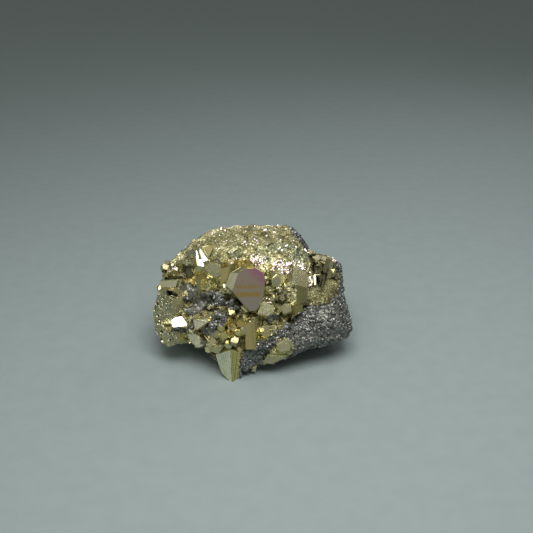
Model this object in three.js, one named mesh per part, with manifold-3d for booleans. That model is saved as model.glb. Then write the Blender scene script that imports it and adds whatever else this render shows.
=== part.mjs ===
// A hand specimen of pyrite: brassy crystals grown together with a granular grey sulphide.
// Millimetres, +Z up, origin on the resting surface below the middle of the specimen.
// "Across, up, out" are measured on the display side, which leans back by FACE_LEAN.

import * as THREE from 'three';
import { ConvexGeometry } from 'three/addons/geometries/ConvexGeometry.js';
import { mergeVertices } from 'three/addons/utils/BufferGeometryUtils.js';
import Module from 'manifold-3d';

const wasm = await Module();
wasm.setup();

// ---------------------------------------------------------------- driving dimensions
const FACE_LEAN = 30;
const MASS_CENTRE = new THREE.Vector3(0, 0, 20);
const LUMP_BLEND = 5;
const MASS_DETAIL = 9;
const CHIP_COUNT = 150;
const CHIP_TILT = 13;
const CHIP_SHARE = 0.75;
const CHIP_SCATTER = 0.07;
const CHIP_LIMIT = 2.8;
const NEAREST_CHIPS = 3;
const FLATTEST_CHIP = 0.2;
const ROOT_DEPTH = 8;
const HOLLOW_START = 6;
const HOLLOW_SIDES = 5;
const HOLLOW_TURN = 0.3;
const TIP = { x: -8.4, y: -31, height: 13.5 };
const CAVITY_DEPTH = 6;
const WALL_OVERLAP = 0.5;
const CLUSTER_SPREAD = 0.42;
const CLUSTER_LEAN = 45;
const SIDE_TILT = 0.45;
const SIDE_SINK = [0.12, 0.32];
const LEADER_SIZE = 1.3;
const SIDE_CLUSTERS = [
  { azimuth: 30, rise: -0.25, count: 4, size: 6.5 },
  { azimuth: 58, rise: -0.1, count: 5, size: 8.5 },
  { azimuth: 108, rise: 0.35, count: 5, size: 8 },
  { azimuth: 150, rise: -0.15, count: 6, size: 9.5 },
  { azimuth: 184, rise: 0.1, count: 3, size: 6 },
];
const SEED = 7;

// Search settings for the surface of the mass: start this far out, walk in, stop this close.
const FAR_OUT = 70;
const TOUCH = 0.02;
const SAFE_STEP = 0.6;
const SHORTEST_STEP = 0.05;
const NORMAL_STEP = 0.3;
// How close corners must be to count as one, planes as parallel, and a point as on a plane.
const WELD = 1e-4;
const SAME_CORNER = 0.02;
const PARALLEL = 1e-4;
const ON_PLANE = 1e-3;
const FLOOR_BLOCK = { width: 200, height: 60 };

const GOLDEN_TURN = Math.PI * (3 - Math.sqrt(5));
const CUBE_CORNERS = [-1, 1].flatMap((x) => [-1, 1].flatMap((y) => [-1, 1].map((z) => [x, y, z])));

// The lumps that the mass is made of: centre and half sizes.
const LUMPS = [
  { name: 'core', at: [0, 4, 20.4], half: [31, 25, 23] },
  { name: 'crown', at: [-3, 7, 32], half: [26, 17, 13.5] },
  { name: 'crown corner', at: [11, 8, 36], half: [9.5, 13, 10] },
  { name: 'left flank', at: [-26, -2, 14], half: [12, 17, 12] },
  { name: 'upper left', at: [-28.8, 4, 28], half: [9.4, 9, 8] },
  { name: 'right lobe', at: [25, -6, 13.8], half: [14, 16, 11.3] },
  { name: 'right shoulder', at: [27, 3, 24], half: [10, 14, 10] },
  { name: 'cavity dome', at: [29.4, 3.6, 25.2], half: [5.4, 9, 7] },
  { name: 'belly', at: [-7, -13, 14], half: [16, 14, 13] },
  { name: 'toe', at: [-4.5, -18.6, 5.8], half: [12, 9.6, 6.8] },
  { name: 'vein', at: [8, -14, 10], half: [14, 12, 9] },
  { name: 'back', at: [0, 14, 18], half: [27, 16, 17] },
];

// ---------------------------------------------------------------- helpers
const lean = THREE.MathUtils.degToRad(FACE_LEAN);
const ACROSS = new THREE.Vector3(1, 0, 0);
const UP = new THREE.Vector3(0, Math.sin(lean), Math.cos(lean));
const OUT = new THREE.Vector3(0, -Math.cos(lean), Math.sin(lean));

function seededRandom(seed) {
  let state = seed >>> 0;
  return () => {
    state = (state + 0x6d2b79f5) >>> 0;
    let t = state;
    t = Math.imul(t ^ (t >>> 15), t | 1);
    t ^= t + Math.imul(t ^ (t >>> 7), t | 61);
    return ((t ^ (t >>> 14)) >>> 0) / 4294967296;
  };
}

const random = seededRandom(SEED);

function spread(low, high) {
  return low + (high - low) * random();
}

function onFace(across, up, out) {
  const point = new THREE.Vector3();
  point.addScaledVector(ACROSS, across);
  point.addScaledVector(UP, up);
  point.addScaledVector(OUT, out);
  return point;
}

function smoothMin(a, b, width) {
  const mix = THREE.MathUtils.clamp(0.5 + (0.5 * (b - a)) / width, 0, 1);
  return b + (a - b) * mix - width * mix * (1 - mix);
}

// How far a point is outside (+) or inside (-) the mass of lumps.
function outsideMass(point) {
  let distance = 2 * FAR_OUT;
  for (const lump of LUMPS) {
    const q = new THREE.Vector3().subVectors(point, new THREE.Vector3(...lump.at));
    const half = new THREE.Vector3(...lump.half);
    const scaled = q.clone().divide(half);
    const k0 = scaled.length();
    const k1 = Math.max(scaled.clone().divide(half).length(), 1e-6);
    distance = smoothMin(distance, (k0 * (k0 - 1)) / k1, LUMP_BLEND);
  }
  return distance;
}

// The outermost point of the mass on a line that starts outside it.
function hitMass(start, direction, reach) {
  let travelled = 0;
  const point = start.clone();
  while (travelled < reach) {
    const gap = outsideMass(point);
    if (gap < TOUCH) return point;
    const step = Math.max(gap * SAFE_STEP, SHORTEST_STEP);
    point.addScaledVector(direction, step);
    travelled += step;
  }
  return null;
}

function massRadius(direction) {
  const start = MASS_CENTRE.clone().addScaledVector(direction, FAR_OUT);
  const hit = hitMass(start, direction.clone().negate(), FAR_OUT);
  return hit.distanceTo(MASS_CENTRE);
}

function faceSurface(across, up) {
  const start = onFace(across, up, FAR_OUT);
  return hitMass(start, OUT.clone().negate(), 2 * FAR_OUT) ?? onFace(across, up, 0);
}

function toSolid(geometry) {
  const bare = geometry.clone();
  bare.deleteAttribute('normal');
  bare.deleteAttribute('uv');
  const merged = mergeVertices(bare, WELD);
  const mesh = new wasm.Mesh({
    numProp: 3,
    vertProperties: new Float32Array(merged.attributes.position.array),
    triVerts: new Uint32Array(merged.index.array),
  });
  return new wasm.Manifold(mesh);
}

function toGeometry(solid) {
  const mesh = solid.getMesh();
  const geometry = new THREE.BufferGeometry();
  geometry.setAttribute('position', new THREE.BufferAttribute(new Float32Array(mesh.vertProperties), 3));
  geometry.setIndex(new THREE.BufferAttribute(new Uint32Array(mesh.triVerts), 1));
  geometry.computeVertexNormals();
  return geometry;
}

// ---------------------------------------------------------------- convex crystals
// The solid that is inside every plane of a list.
function solidInside(planes) {
  const corners = [];
  const point = new THREE.Vector3();
  for (let i = 0; i < planes.length; i += 1) {
    for (let j = i + 1; j < planes.length; j += 1) {
      const ij = new THREE.Vector3().crossVectors(planes[i].normal, planes[j].normal);
      if (ij.length() < PARALLEL) continue;
      for (let k = j + 1; k < planes.length; k += 1) {
        const volume = ij.dot(planes[k].normal);
        if (Math.abs(volume) < PARALLEL) continue;
        const jk = new THREE.Vector3().crossVectors(planes[j].normal, planes[k].normal);
        const ki = new THREE.Vector3().crossVectors(planes[k].normal, planes[i].normal);
        point.set(0, 0, 0);
        point.addScaledVector(jk, planes[i].reach);
        point.addScaledVector(ki, planes[j].reach);
        point.addScaledVector(ij, planes[k].reach);
        point.divideScalar(volume);
        const inside = planes.every((plane) => plane.normal.dot(point) < plane.reach + ON_PLANE);
        const isNew = corners.every((corner) => corner.distanceTo(point) > SAME_CORNER);
        if (inside && isNew) corners.push(point.clone());
      }
    }
  }
  return toSolid(new ConvexGeometry(corners));
}

function planeThrough(normal, point) {
  const unit = normal.clone().normalize();
  return { normal: unit, reach: unit.dot(point) };
}

function combine(axes, amounts) {
  const sum = new THREE.Vector3();
  sum.addScaledVector(axes.right, amounts[0]);
  sum.addScaledVector(axes.top, amounts[1]);
  sum.addScaledVector(axes.normal, amounts[2]);
  return sum;
}

function axesAbout(normal, roll) {
  const reference = Math.abs(normal.z) > 0.9 ? ACROSS : new THREE.Vector3(0, 0, 1);
  const right = new THREE.Vector3().crossVectors(reference, normal).normalize();
  right.applyAxisAngle(normal, THREE.MathUtils.degToRad(roll));
  const top = new THREE.Vector3().crossVectors(normal, right);
  return { normal, right, top };
}

// The axes of a facet on the display side, turned right by yaw and up by pitch.
function facetAxes(yaw, pitch, roll = 0) {
  const y = THREE.MathUtils.degToRad(yaw);
  const p = THREE.MathUtils.degToRad(pitch);
  const normal = new THREE.Vector3();
  normal.addScaledVector(OUT, Math.cos(y) * Math.cos(p));
  normal.addScaledVector(ACROSS, Math.sin(y) * Math.cos(p));
  normal.addScaledVector(UP, Math.sin(p));
  normal.normalize();
  const right = new THREE.Vector3().crossVectors(UP, normal).normalize();
  right.applyAxisAngle(normal, THREE.MathUtils.degToRad(roll));
  const top = new THREE.Vector3().crossVectors(normal, right);
  return { normal, right, top };
}

// A place on the display side, standing proud of the mass there.
function faceSeat([across, up], proud) {
  return faceSurface(across, up).addScaledVector(OUT, proud);
}

// A solid with one broad facet. The corners go anticlockwise round the facet's middle, and
// each side falls away from the facet at its own slope: 90 is square, over 90 undercuts.
// An apron is a steeper second plane, a set distance down the slope of one side.
function facetSolid({ at, proud, turn, corners, slopes, aprons = [], depth = ROOT_DEPTH }) {
  const axes = facetAxes(...turn);
  const middle = faceSeat(at, proud);
  const planes = [planeThrough(axes.normal, middle)];
  const back = middle.clone().add(combine(axes, [0, 0, -depth]));
  planes.push(planeThrough(axes.normal.clone().negate(), back));
  corners.forEach((corner, index) => {
    const next = corners[(index + 1) % corners.length];
    const run = Math.hypot(next[0] - corner[0], next[1] - corner[1]);
    const slope = THREE.MathUtils.degToRad(Array.isArray(slopes) ? slopes[index] : slopes);
    const outward = combine(axes, [
      (Math.sin(slope) * (next[1] - corner[1])) / run,
      (-Math.sin(slope) * (next[0] - corner[0])) / run,
      Math.cos(slope),
    ]);
    const through = middle.clone().add(combine(axes, [corner[0], corner[1], 0]));
    planes.push(planeThrough(outward, through));
    for (const apron of aprons.filter((entry) => entry.side === index)) {
      const across = combine(axes, [(next[1] - corner[1]) / run, (corner[0] - next[0]) / run, 0]);
      const foot = through.clone().addScaledVector(across, apron.run * Math.cos(slope));
      foot.addScaledVector(axes.normal, -apron.run * Math.sin(slope));
      const steep = THREE.MathUtils.degToRad(apron.slope);
      const turned = across.clone().multiplyScalar(Math.sin(steep));
      planes.push(planeThrough(turned.addScaledVector(axes.normal, Math.cos(steep)), foot));
    }
  });
  return solidInside(planes);
}

// A block of a given size, its corners cut off where trim is under 1.
function block({ middle, axes, size, trim = 1 }) {
  const half = size.map((length) => length / 2);
  const planes = [];
  for (const sign of [-1, 1]) {
    for (const unit of [[1, 0, 0], [0, 1, 0], [0, 0, 1]]) {
      const outward = combine(axes, unit.map((value) => value * sign));
      const reach = combine(axes, unit.map((value, index) => value * sign * half[index]));
      planes.push(planeThrough(outward, middle.clone().add(reach)));
    }
  }
  if (trim < 1) {
    for (const signs of CUBE_CORNERS) {
      const outward = combine(axes, signs.map((sign, index) => sign / half[index]));
      const cut = combine(axes, signs.map((sign, index) => sign * half[index] * trim));
      planes.push(planeThrough(outward, middle.clone().add(cut)));
    }
  }
  return solidInside(planes);
}

function faceBlock({ at, proud, turn, size, trim }) {
  const axes = facetAxes(...turn);
  const middle = faceSeat(at, proud).add(combine(axes, [0, 0, -size[2] / 2]));
  return block({ middle, axes, size, trim });
}

// A cluster of small blocks inside an oval patch of the display side.
function faceCluster({ at, half, count, size, proud }) {
  const solids = [];
  for (let i = 0; i < count; i += 1) {
    const turn = i * GOLDEN_TURN;
    const ring = Math.sqrt((i + 0.5) / count);
    const place = [
      at[0] + half[0] * ring * Math.cos(turn),
      at[1] + half[1] * ring * Math.sin(turn),
    ];
    const edge = spread(size[0], size[1]);
    solids.push(faceBlock({
      at: place,
      proud: spread(proud[0], proud[1]),
      turn: [
        spread(-CLUSTER_LEAN, CLUSTER_LEAN), spread(-CLUSTER_LEAN, CLUSTER_LEAN), spread(0, 90),
      ],
      size: [edge, edge * spread(0.75, 1.1), edge * spread(0.9, 1.3)],
      trim: spread(0.55, 1.05),
    }));
  }
  return solids;
}

// ---------------------------------------------------------------- the mass
function massNormal(point) {
  const normal = new THREE.Vector3();
  for (const axis of ['x', 'y', 'z']) {
    const ahead = point.clone();
    const behind = point.clone();
    ahead[axis] += NORMAL_STEP;
    behind[axis] -= NORMAL_STEP;
    normal[axis] = outsideMass(ahead) - outsideMass(behind);
  }
  return normal.normalize();
}

function jitter(amount) {
  return new THREE.Vector3(spread(-amount, amount), spread(-amount, amount), spread(-amount, amount));
}

function directionOnSpiral(index, count) {
  const z = 1 - (2 * (index + 0.5)) / count;
  const ring = Math.sqrt(1 - z * z);
  const turn = index * GOLDEN_TURN;
  return new THREE.Vector3(ring * Math.cos(turn), ring * Math.sin(turn), z);
}

// Flat chips all over the mass, each tilted a little from the smooth surface.
function makeChips() {
  const chips = [];
  const tilt = Math.tan(THREE.MathUtils.degToRad(CHIP_TILT));
  for (let i = 0; i < CHIP_COUNT; i += 1) {
    const direction = directionOnSpiral(i, CHIP_COUNT).add(jitter(CHIP_SCATTER)).normalize();
    const centre = MASS_CENTRE.clone().addScaledVector(direction, massRadius(direction));
    const normal = massNormal(centre).add(jitter(tilt));
    chips.push({ direction, plane: planeThrough(normal, centre) });
  }
  return chips;
}

function chippedRadius(chips, direction, smooth) {
  const near = chips
    .map((chip) => ({ plane: chip.plane, closeness: chip.direction.dot(direction) }))
    .sort((a, b) => b.closeness - a.closeness)
    .slice(0, NEAREST_CHIPS);
  let radius = smooth + CHIP_LIMIT;
  for (const { plane } of near) {
    const rise = plane.normal.dot(direction);
    const gap = plane.reach - plane.normal.dot(MASS_CENTRE);
    if (rise > FLATTEST_CHIP) radius = Math.min(radius, gap / rise);
  }
  return Math.max(radius, smooth - CHIP_LIMIT);
}

function massSolid() {
  const sphere = new THREE.IcosahedronGeometry(1, MASS_DETAIL);
  sphere.deleteAttribute('normal');
  sphere.deleteAttribute('uv');
  const ball = mergeVertices(sphere, WELD);
  const positions = ball.attributes.position;
  const chips = makeChips();
  const direction = new THREE.Vector3();
  for (let i = 0; i < positions.count; i += 1) {
    direction.fromBufferAttribute(positions, i).normalize();
    const smooth = massRadius(direction);
    const chipped = chippedRadius(chips, direction, smooth);
    const radius = smooth + (chipped - smooth) * CHIP_SHARE;
    const point = MASS_CENTRE.clone().addScaledVector(direction, radius);
    positions.setXYZ(i, point.x, point.y, point.z);
  }
  return toSolid(ball);
}

// ---------------------------------------------------------------- crystals of the display side
function centralCrystals() {
  return [
    // big six-sided crystal, the pale strip is its left bevel
    facetSolid({
      at: [-0.7, 20], proud: 2.6, turn: [4, -6], depth: 12,
      corners: [
        [-7, -0.6], [-0.3, -8.5], [2.2, -8.2], [4.4, -5], [5.3, 3],
        [4.6, 6], [2, 7.6], [-1.7, 7.5], [-4.6, 5.9],
      ],
      slopes: [78, 74, 60, 62, 80, 80, 74, 60, 42],
      aprons: [{ side: 8, run: 3.6, slope: 86 }, { side: 7, run: 2.4, slope: 86 }],
    }),
    // pale crystal below its right, with a bright bevel along the top
    facetSolid({
      at: [5.2, 12.2], proud: 2.6, turn: [10, 10],
      corners: [[-3.6, -1.6], [0.9, -2.6], [2.9, -0.8], [2.6, 1.1], [-1, 3.1], [-2.2, 1.5]],
      slopes: [80, 70, 80, 38, 80, 80],
    }),
    // slab leaning out below it
    facetSolid({
      at: [6, 4.2], proud: 1.6, turn: [20, 14],
      corners: [[-4.5, 1.4], [-1.7, -3.1], [3.3, -0.3], [2.8, 1.9]],
      slopes: [80, 75, 80, 50],
    }),
    // striated column
    facetSolid({
      at: [-0.9, 3.3], proud: 2.2, turn: [-4, -4],
      corners: [[-2.2, 5.7], [-1.6, -6], [1.7, -6], [1.9, 5.7]],
      slopes: [62, 85, 62, 60],
    }),
    // bright gem between the column and the slab
    faceBlock({ at: [6.5, 9.3], proud: 1.6, turn: [10, 20, 30], size: [2, 2, 3], trim: 0.7 }),
  ];
}

function leftCrystals() {
  return [
    // long pale face under the overhang
    facetSolid({
      at: [-33.1, 21.9], proud: 1.2, turn: [-22, 4],
      corners: [[-4, 1.4], [-3, -1.3], [-0.8, -1.7], [3.2, -0.8], [4.1, 1.9]],
      slopes: 75,
    }),
    // big flat flank
    facetSolid({
      at: [-34.6, 9], proud: 1.2, turn: [-34, -6], depth: 12,
      corners: [
        [-5.5, 2], [-5, -5], [-2.6, -9.5], [1, -11.6],
        [5.6, -10], [5.2, 6.5], [1.4, 10], [-2, 10.4],
      ],
      slopes: [68, 78, 98, 98, 68, 68, 68, 68],
    }),
    // white mirror face
    facetSolid({
      at: [-28, 7.5], proud: 1.9, turn: [-6, 16],
      corners: [[-3.3, 0.8], [-2.4, -2], [2.6, -1.5], [2.9, -0.9], [0.6, 2.3], [-1.8, 1.8]],
      slopes: 78,
    }),
    facetSolid({
      at: [-20, 7], proud: 1.7, turn: [-12, 2],
      corners: [[-2.7, 1.5], [-2.2, -1.6], [-1.2, -2.3], [3.2, 0.6], [2.9, 1.8]],
      slopes: 74,
    }),
    facetSolid({
      at: [-22.4, 0.2], proud: 1.6, turn: [-10, -6],
      corners: [[-3, 2.5], [-1.3, -0.8], [0.8, -2.7], [3.4, -1.9], [0.3, 2.6]],
      slopes: 74,
    }),
    // rounded brassy crystals of the upper left
    facetSolid({
      at: [-22.6, 22.6], proud: 1.8, turn: [-14, 16],
      corners: [[-3.4, 1], [-2.6, -2.6], [0.4, -3.6], [3, -1.6], [3.3, 1.8], [0.6, 3.4], [-2.2, 3]],
      slopes: 48,
    }),
    facetSolid({
      at: [-14.3, 27.3], proud: 1.8, turn: [-6, 4],
      corners: [[-2.8, 1.9], [-2, -1.6], [0.4, -3.3], [2.3, -1.6], [2.3, 1.7], [-0.1, 2.7]],
      slopes: 52,
    }),
    facetSolid({
      at: [-10.6, 25.4], proud: 1.4, turn: [-26, 6],
      corners: [[-2, 2.1], [-1.6, -3.6], [1, -2.4], [2.6, 3.2]],
      slopes: [70, 80, 80, 60],
    }),
    facetSolid({
      at: [-17.6, 21.8], proud: 2, turn: [-4, 8],
      corners: [[-2, 1.4], [-1.6, -2.2], [0.6, -3], [2.3, -1], [2, 2.2], [0, 3]],
      slopes: 50,
    }),
    // bright mirror faces above the cavity
    facetSolid({
      at: [-19.2, 32.6], proud: 1.6, turn: [-4, 22],
      corners: [[-2.6, 2.6], [-1.6, -3.6], [0.6, -4], [2.4, -0.4], [2.6, 3], [0, 3.6]],
      slopes: 56,
    }),
    facetSolid({
      at: [-17.2, 35.4], proud: 2.1, turn: [14, 28],
      corners: [[-1.6, 1], [0.2, -3.2], [2.2, 0.8], [1, 2]],
      slopes: 60,
    }),
  ];
}

function rightCrystals() {
  return [
    // two-faced crystal: a brown face on the left and an olive one on the right
    facetSolid({
      at: [15.6, 18.6], proud: 2.2, turn: [-8, -8],
      corners: [[-2.8, 3], [-2.4, -2.4], [-0.2, -5], [1, -4.4], [1.2, 2.8], [-0.4, 4.4]],
      slopes: [66, 62, 60, 34, 60, 56],
      aprons: [{ side: 3, run: 4.4, slope: 84 }],
    }),
    // small round face between it and the big crystal
    facetSolid({
      at: [9, 22.8], proud: 1.5, turn: [2, 0],
      corners: [[-1.9, 0.6], [-1.6, -1.4], [0.2, -2.3], [1.8, -1.2], [1.9, 1], [0.2, 2.2]],
      slopes: 58,
    }),
    facetSolid({
      at: [12.6, 12.4], proud: 1.2, turn: [-14, -4],
      corners: [[-2.2, 0.6], [-0.8, -2.2], [2.2, -1], [2, 1.4], [0, 2.2]],
      slopes: [70, 70, 80, 60, 50],
    }),
    facetSolid({
      at: [17.4, 12.6], proud: 1.5, turn: [22, -10],
      corners: [[-2.4, 1], [-0.6, -3], [2, -1.2], [1.8, 2.2]],
      slopes: 66,
    }),
    facetSolid({
      at: [11.7, -1.6], proud: 1.5, turn: [6, 6],
      corners: [[-3.1, 0.9], [-1.1, -2.5], [2.4, -1.9], [2.3, 1.1], [-0.2, 2.1]],
      slopes: 72,
    }),
    facetSolid({
      at: [8.3, -6.9], proud: 1.3, turn: [4, -12],
      corners: [[-4.5, -1.5], [-1, -1.9], [3.9, 0.2], [4.7, 1.2], [-2.8, 1.9]],
      slopes: 74,
    }),
    faceBlock({ at: [0.3, -11], proud: 0.8, turn: [12, -8, -8], size: [1.6, 2.2, 4] }),
    faceBlock({ at: [8.4, 24.6], proud: 1.4, turn: [20, 0, 30], size: [2.6, 3.4, 4], trim: 0.8 }),
  ];
}

// The crystal that the specimen stands on in front: an upright wedge with two tall faces.
// Each plane has a normal and a point on it, given from the foot of the wedge's front edge.
const TIP_PLANES = [
  { name: 'left face', normal: [-0.62, -0.78, 0.08], through: [0, 0, 0] },
  { name: 'right face', normal: [0.55, -0.83, 0.1], through: [0, 0, 0] },
  { name: 'left side', normal: [-0.96, -0.1, -0.26], through: [-3.9, 3.3, 2.1] },
  { name: 'left undercut', normal: [-0.41, 0.09, -0.9], through: [-0.7, 0.6, 0] },
  { name: 'right side', normal: [0.95, 0.3, 0], through: [2.8, 5, 6] },
  { name: 'top left', normal: [-0.68, -0.1, 0.73], through: [0, 0, TIP.height] },
  { name: 'top right', normal: [0.64, -0.1, 0.77], through: [0, 0, TIP.height] },
  { name: 'back', normal: [0, 1, 0], through: [0, 16, 0] },
  { name: 'right undercut', normal: [0.5, -0.3, -0.8], through: [2.4, 2.6, -0.4] },
  { name: 'bottom', normal: [0, 0, -1], through: [0, 0, -1] },
];

function tipCrystal() {
  const foot = new THREE.Vector3(TIP.x, TIP.y, 0);
  return solidInside(TIP_PLANES.map(({ normal, through }) => (
    planeThrough(new THREE.Vector3(...normal), new THREE.Vector3(...through).add(foot))
  )));
}

function smallClusters() {
  return [
    // deep gold crystals under the big one
    ...faceCluster({ at: [-8.8, 5.6], half: [6.4, 6], count: 18, size: [2.2, 3.9], proud: [1.1, 2.4] }),
    ...faceCluster({ at: [3.5, 1.4], half: [2.6, 5], count: 6, size: [2, 3.2], proud: [1.2, 2.2] }),
    // ridged lump at the upper left
    ...faceCluster({ at: [-33, 28.2], half: [4, 3.2], count: 9, size: [1.8, 3], proud: [0.6, 1.3] }),
    // between the mirror face and the tip
    ...faceCluster({ at: [-17.5, -1.5], half: [5, 3], count: 7, size: [2, 3.6], proud: [0.8, 1.8] }),
    // right of the big crystal
    ...faceCluster({ at: [10.3, 17.6], half: [2.6, 4.4], count: 7, size: [1.6, 2.8], proud: [0.6, 1.4] }),
  ];
}

// ---------------------------------------------------------------- hollows and blades
function hollow(at, width, height, depth, roll = 0, taper = 104) {
  const corners = [];
  for (let i = 0; i < HOLLOW_SIDES; i += 1) {
    const turn = (2 * Math.PI * (i + HOLLOW_TURN)) / HOLLOW_SIDES;
    corners.push([(Math.cos(turn) * width) / 2, (Math.sin(turn) * height) / 2]);
  }
  return facetSolid({
    at, proud: HOLLOW_START, turn: [0, 0, roll], corners, slopes: taper, depth: depth + HOLLOW_START,
  });
}

function hollows() {
  return [
    hollow([-9.6, 16.8], 4.4, 4, 4, 0),
    hollow([-1.2, 10.6], 4, 2.6, 4, 0),
    hollow([6.6, 22.6], 1.8, 5, 3.5, -12),
    hollow([9.6, 14.8], 4, 1.8, 3, -28),
    hollow([14.6, 7.4], 4.4, 2.6, 3.5, 40),
  ];
}

// Openings that cut into the crystals round them too.
function openings() {
  return [
    // dark cavity under the bright faces
    hollow([-25.3, 27], 6.2, 6.6, 5, 24, 96),
    // wedge-shaped gap under the long pale face
    hollow([-31, 18.2], 7, 3.6, 5, -24, 96),
    // slot under the overhang
    hollow([-31.2, 24.9], 9.5, 1.6, 4, 4, 92),
  ];
}

// Cavity of the upper right, under a low dome.
function domeCavity() {
  return facetSolid({
    at: [28, 26.4], proud: HOLLOW_START, turn: [10, 2], depth: CAVITY_DEPTH + HOLLOW_START,
    corners: [
      [-5.4, 3.4], [-3.6, -1], [-3.4, -6.2], [-1.2, -6.6], [3.2, -2.4],
      [4.9, 1.4], [3.6, 4.2], [1, 5.8], [-2.6, 5.8],
    ],
    slopes: 98,
  });
}

// A thin wall that stands in the cavity along a line of points on the display side.
function wall({ along, thickness, proud, turn, depth = 8 }) {
  const solids = [];
  for (let i = 0; i + 1 < along.length; i += 1) {
    const rise = along[i + 1][1] - along[i][1];
    const run = along[i + 1][0] - along[i][0];
    const roll = THREE.MathUtils.radToDeg(Math.atan2(-run, rise));
    solids.push(faceBlock({
      at: [along[i][0] + run / 2, along[i][1] + rise / 2],
      proud,
      turn: [...turn, roll],
      size: [thickness, Math.hypot(run, rise) + thickness * WALL_OVERLAP, depth],
    }));
  }
  return solids;
}

function cavityWalls() {
  return [
    // long pale blade with two narrower ones behind its right side
    ...wall({
      along: [[26.4, 19.4], [28.6, 25.4], [30.2, 31.2]], thickness: 1.5, proud: 0.3, turn: [4, 2],
    }),
    ...wall({ along: [[29.4, 22.6], [31, 26.6], [31.6, 30]], thickness: 1.7, proud: -0.2, turn: [22, 2] }),
    ...wall({ along: [[31.4, 23.4], [33, 27], [32.8, 29.6]], thickness: 0.9, proud: 0, turn: [26, 2] }),
    // upright prism on the left, narrower below
    ...wall({ along: [[25.9, 29.8], [26, 26.6]], thickness: 2.3, proud: -0.5, turn: [-6, -4] }),
    ...wall({ along: [[26.2, 27], [27, 23.2]], thickness: 1, proud: -0.8, turn: [0, 0] }),
    // curved ridge and the shallow shelf above it
    ...wall({
      along: [[22.8, 29.4], [25.4, 30], [27.6, 30.4], [29.8, 29.6]],
      thickness: 0.8, proud: 0.2, turn: [4, 6],
    }),
    ...wall({ along: [[23.4, 31], [26.4, 32.2], [29.4, 31.6]], thickness: 2.2, proud: -1.2, turn: [0, 8] }),
    ...wall({ along: [[26.2, 31], [28, 33]], thickness: 0.6, proud: -0.2, turn: [4, 8] }),
    // small bars on the left edge
    ...wall({ along: [[24.4, 21.4], [24.3, 25]], thickness: 0.7, proud: 0.4, turn: [-2, 14] }),
    ...wall({ along: [[24.4, 25], [26.6, 24.8]], thickness: 0.6, proud: -0.4, turn: [0, 0] }),
  ];
}

// ---------------------------------------------------------------- crystals round the sides and back
function sideCluster({ azimuth, rise, count, size }) {
  const solids = [];
  const turn = THREE.MathUtils.degToRad(azimuth);
  const centre = new THREE.Vector3(Math.cos(turn), Math.sin(turn), rise).normalize();
  for (let i = 0; i < count; i += 1) {
    const direction = centre.clone().add(jitter(CLUSTER_SPREAD * Math.sqrt(i / count))).normalize();
    const seat = MASS_CENTRE.clone().addScaledVector(direction, massRadius(direction));
    const normal = massNormal(seat).add(jitter(SIDE_TILT)).normalize();
    const edge = size * spread(0.5, 1) * (i === 0 ? LEADER_SIZE : 1);
    const axes = axesAbout(normal, spread(0, 90));
    const middle = seat.addScaledVector(normal, -edge * spread(SIDE_SINK[0], SIDE_SINK[1]));
    solids.push(block({
      middle, axes, size: [edge, edge * spread(0.75, 1.1), edge], trim: spread(0.6, 1.05),
    }));
  }
  return solids;
}

function sideCrystals() {
  return SIDE_CLUSTERS.flatMap(sideCluster);
}

// ---------------------------------------------------------------- assembly
function buildSpecimen() {
  let solid = massSolid();
  for (const cut of [...hollows(), domeCavity()]) {
    solid = solid.subtract(cut);
  }
  const crystals = [
    ...centralCrystals(),
    ...leftCrystals(),
    ...rightCrystals(),
    tipCrystal(),
    ...smallClusters(),
    ...cavityWalls(),
    ...sideCrystals(),
  ];
  for (const crystal of crystals) {
    solid = solid.add(crystal);
  }
  for (const opening of openings()) {
    solid = solid.subtract(opening);
  }
  const below = new THREE.BoxGeometry(FLOOR_BLOCK.width, FLOOR_BLOCK.width, FLOOR_BLOCK.height);
  below.translate(0, 0, -FLOOR_BLOCK.height / 2);
  return outerBody(solid.subtract(toSolid(below)));
}

// Crystals that close over a hollow leave a sealed void, which is filled.
function outerBody(solid) {
  const bodies = solid.decompose();
  return bodies.reduce((largest, body) => (body.volume() > largest.volume() ? body : largest));
}

const pyrite = new THREE.MeshStandardMaterial({ color: 0x9a9270, roughness: 0.38, metalness: 1 });
const specimen = new THREE.Mesh(toGeometry(buildSpecimen()), pyrite);
specimen.name = 'specimen';
specimen.geometry.computeBoundingBox();
const middle = specimen.geometry.boundingBox.getCenter(new THREE.Vector3());
specimen.position.set(-middle.x, -middle.y, 0);

const group = new THREE.Group();
group.add(specimen);

export default group;
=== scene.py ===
"""Looks of the pyrite specimen: one grown-together group of brassy crystals and grey sulphide.

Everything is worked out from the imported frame. Lengths are in metres, or in millimetres where a
value is multiplied by MM. "Across, up, out" are measured on the display side, which leans back
by FACE_LEAN, as in the CAD.
"""

import math
from collections import namedtuple
from itertools import combinations

import bpy
import numpy as np
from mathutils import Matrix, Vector


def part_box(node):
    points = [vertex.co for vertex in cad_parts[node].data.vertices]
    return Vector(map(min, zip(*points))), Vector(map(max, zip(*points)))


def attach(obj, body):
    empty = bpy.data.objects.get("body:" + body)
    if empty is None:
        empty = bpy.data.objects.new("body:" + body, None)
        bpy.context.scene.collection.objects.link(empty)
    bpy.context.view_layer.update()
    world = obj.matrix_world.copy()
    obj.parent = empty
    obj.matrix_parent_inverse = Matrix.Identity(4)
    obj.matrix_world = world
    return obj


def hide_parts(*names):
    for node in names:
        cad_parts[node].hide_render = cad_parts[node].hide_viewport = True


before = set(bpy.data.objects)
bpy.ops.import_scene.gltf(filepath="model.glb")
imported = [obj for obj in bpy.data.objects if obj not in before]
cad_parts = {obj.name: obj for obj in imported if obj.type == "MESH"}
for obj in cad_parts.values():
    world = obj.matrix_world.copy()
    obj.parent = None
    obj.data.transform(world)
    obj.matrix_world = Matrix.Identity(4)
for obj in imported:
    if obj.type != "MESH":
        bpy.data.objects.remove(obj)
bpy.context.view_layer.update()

# ---------------- sizes
NODE = "specimen"
NOMINAL_WIDTH = 79.15
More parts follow.
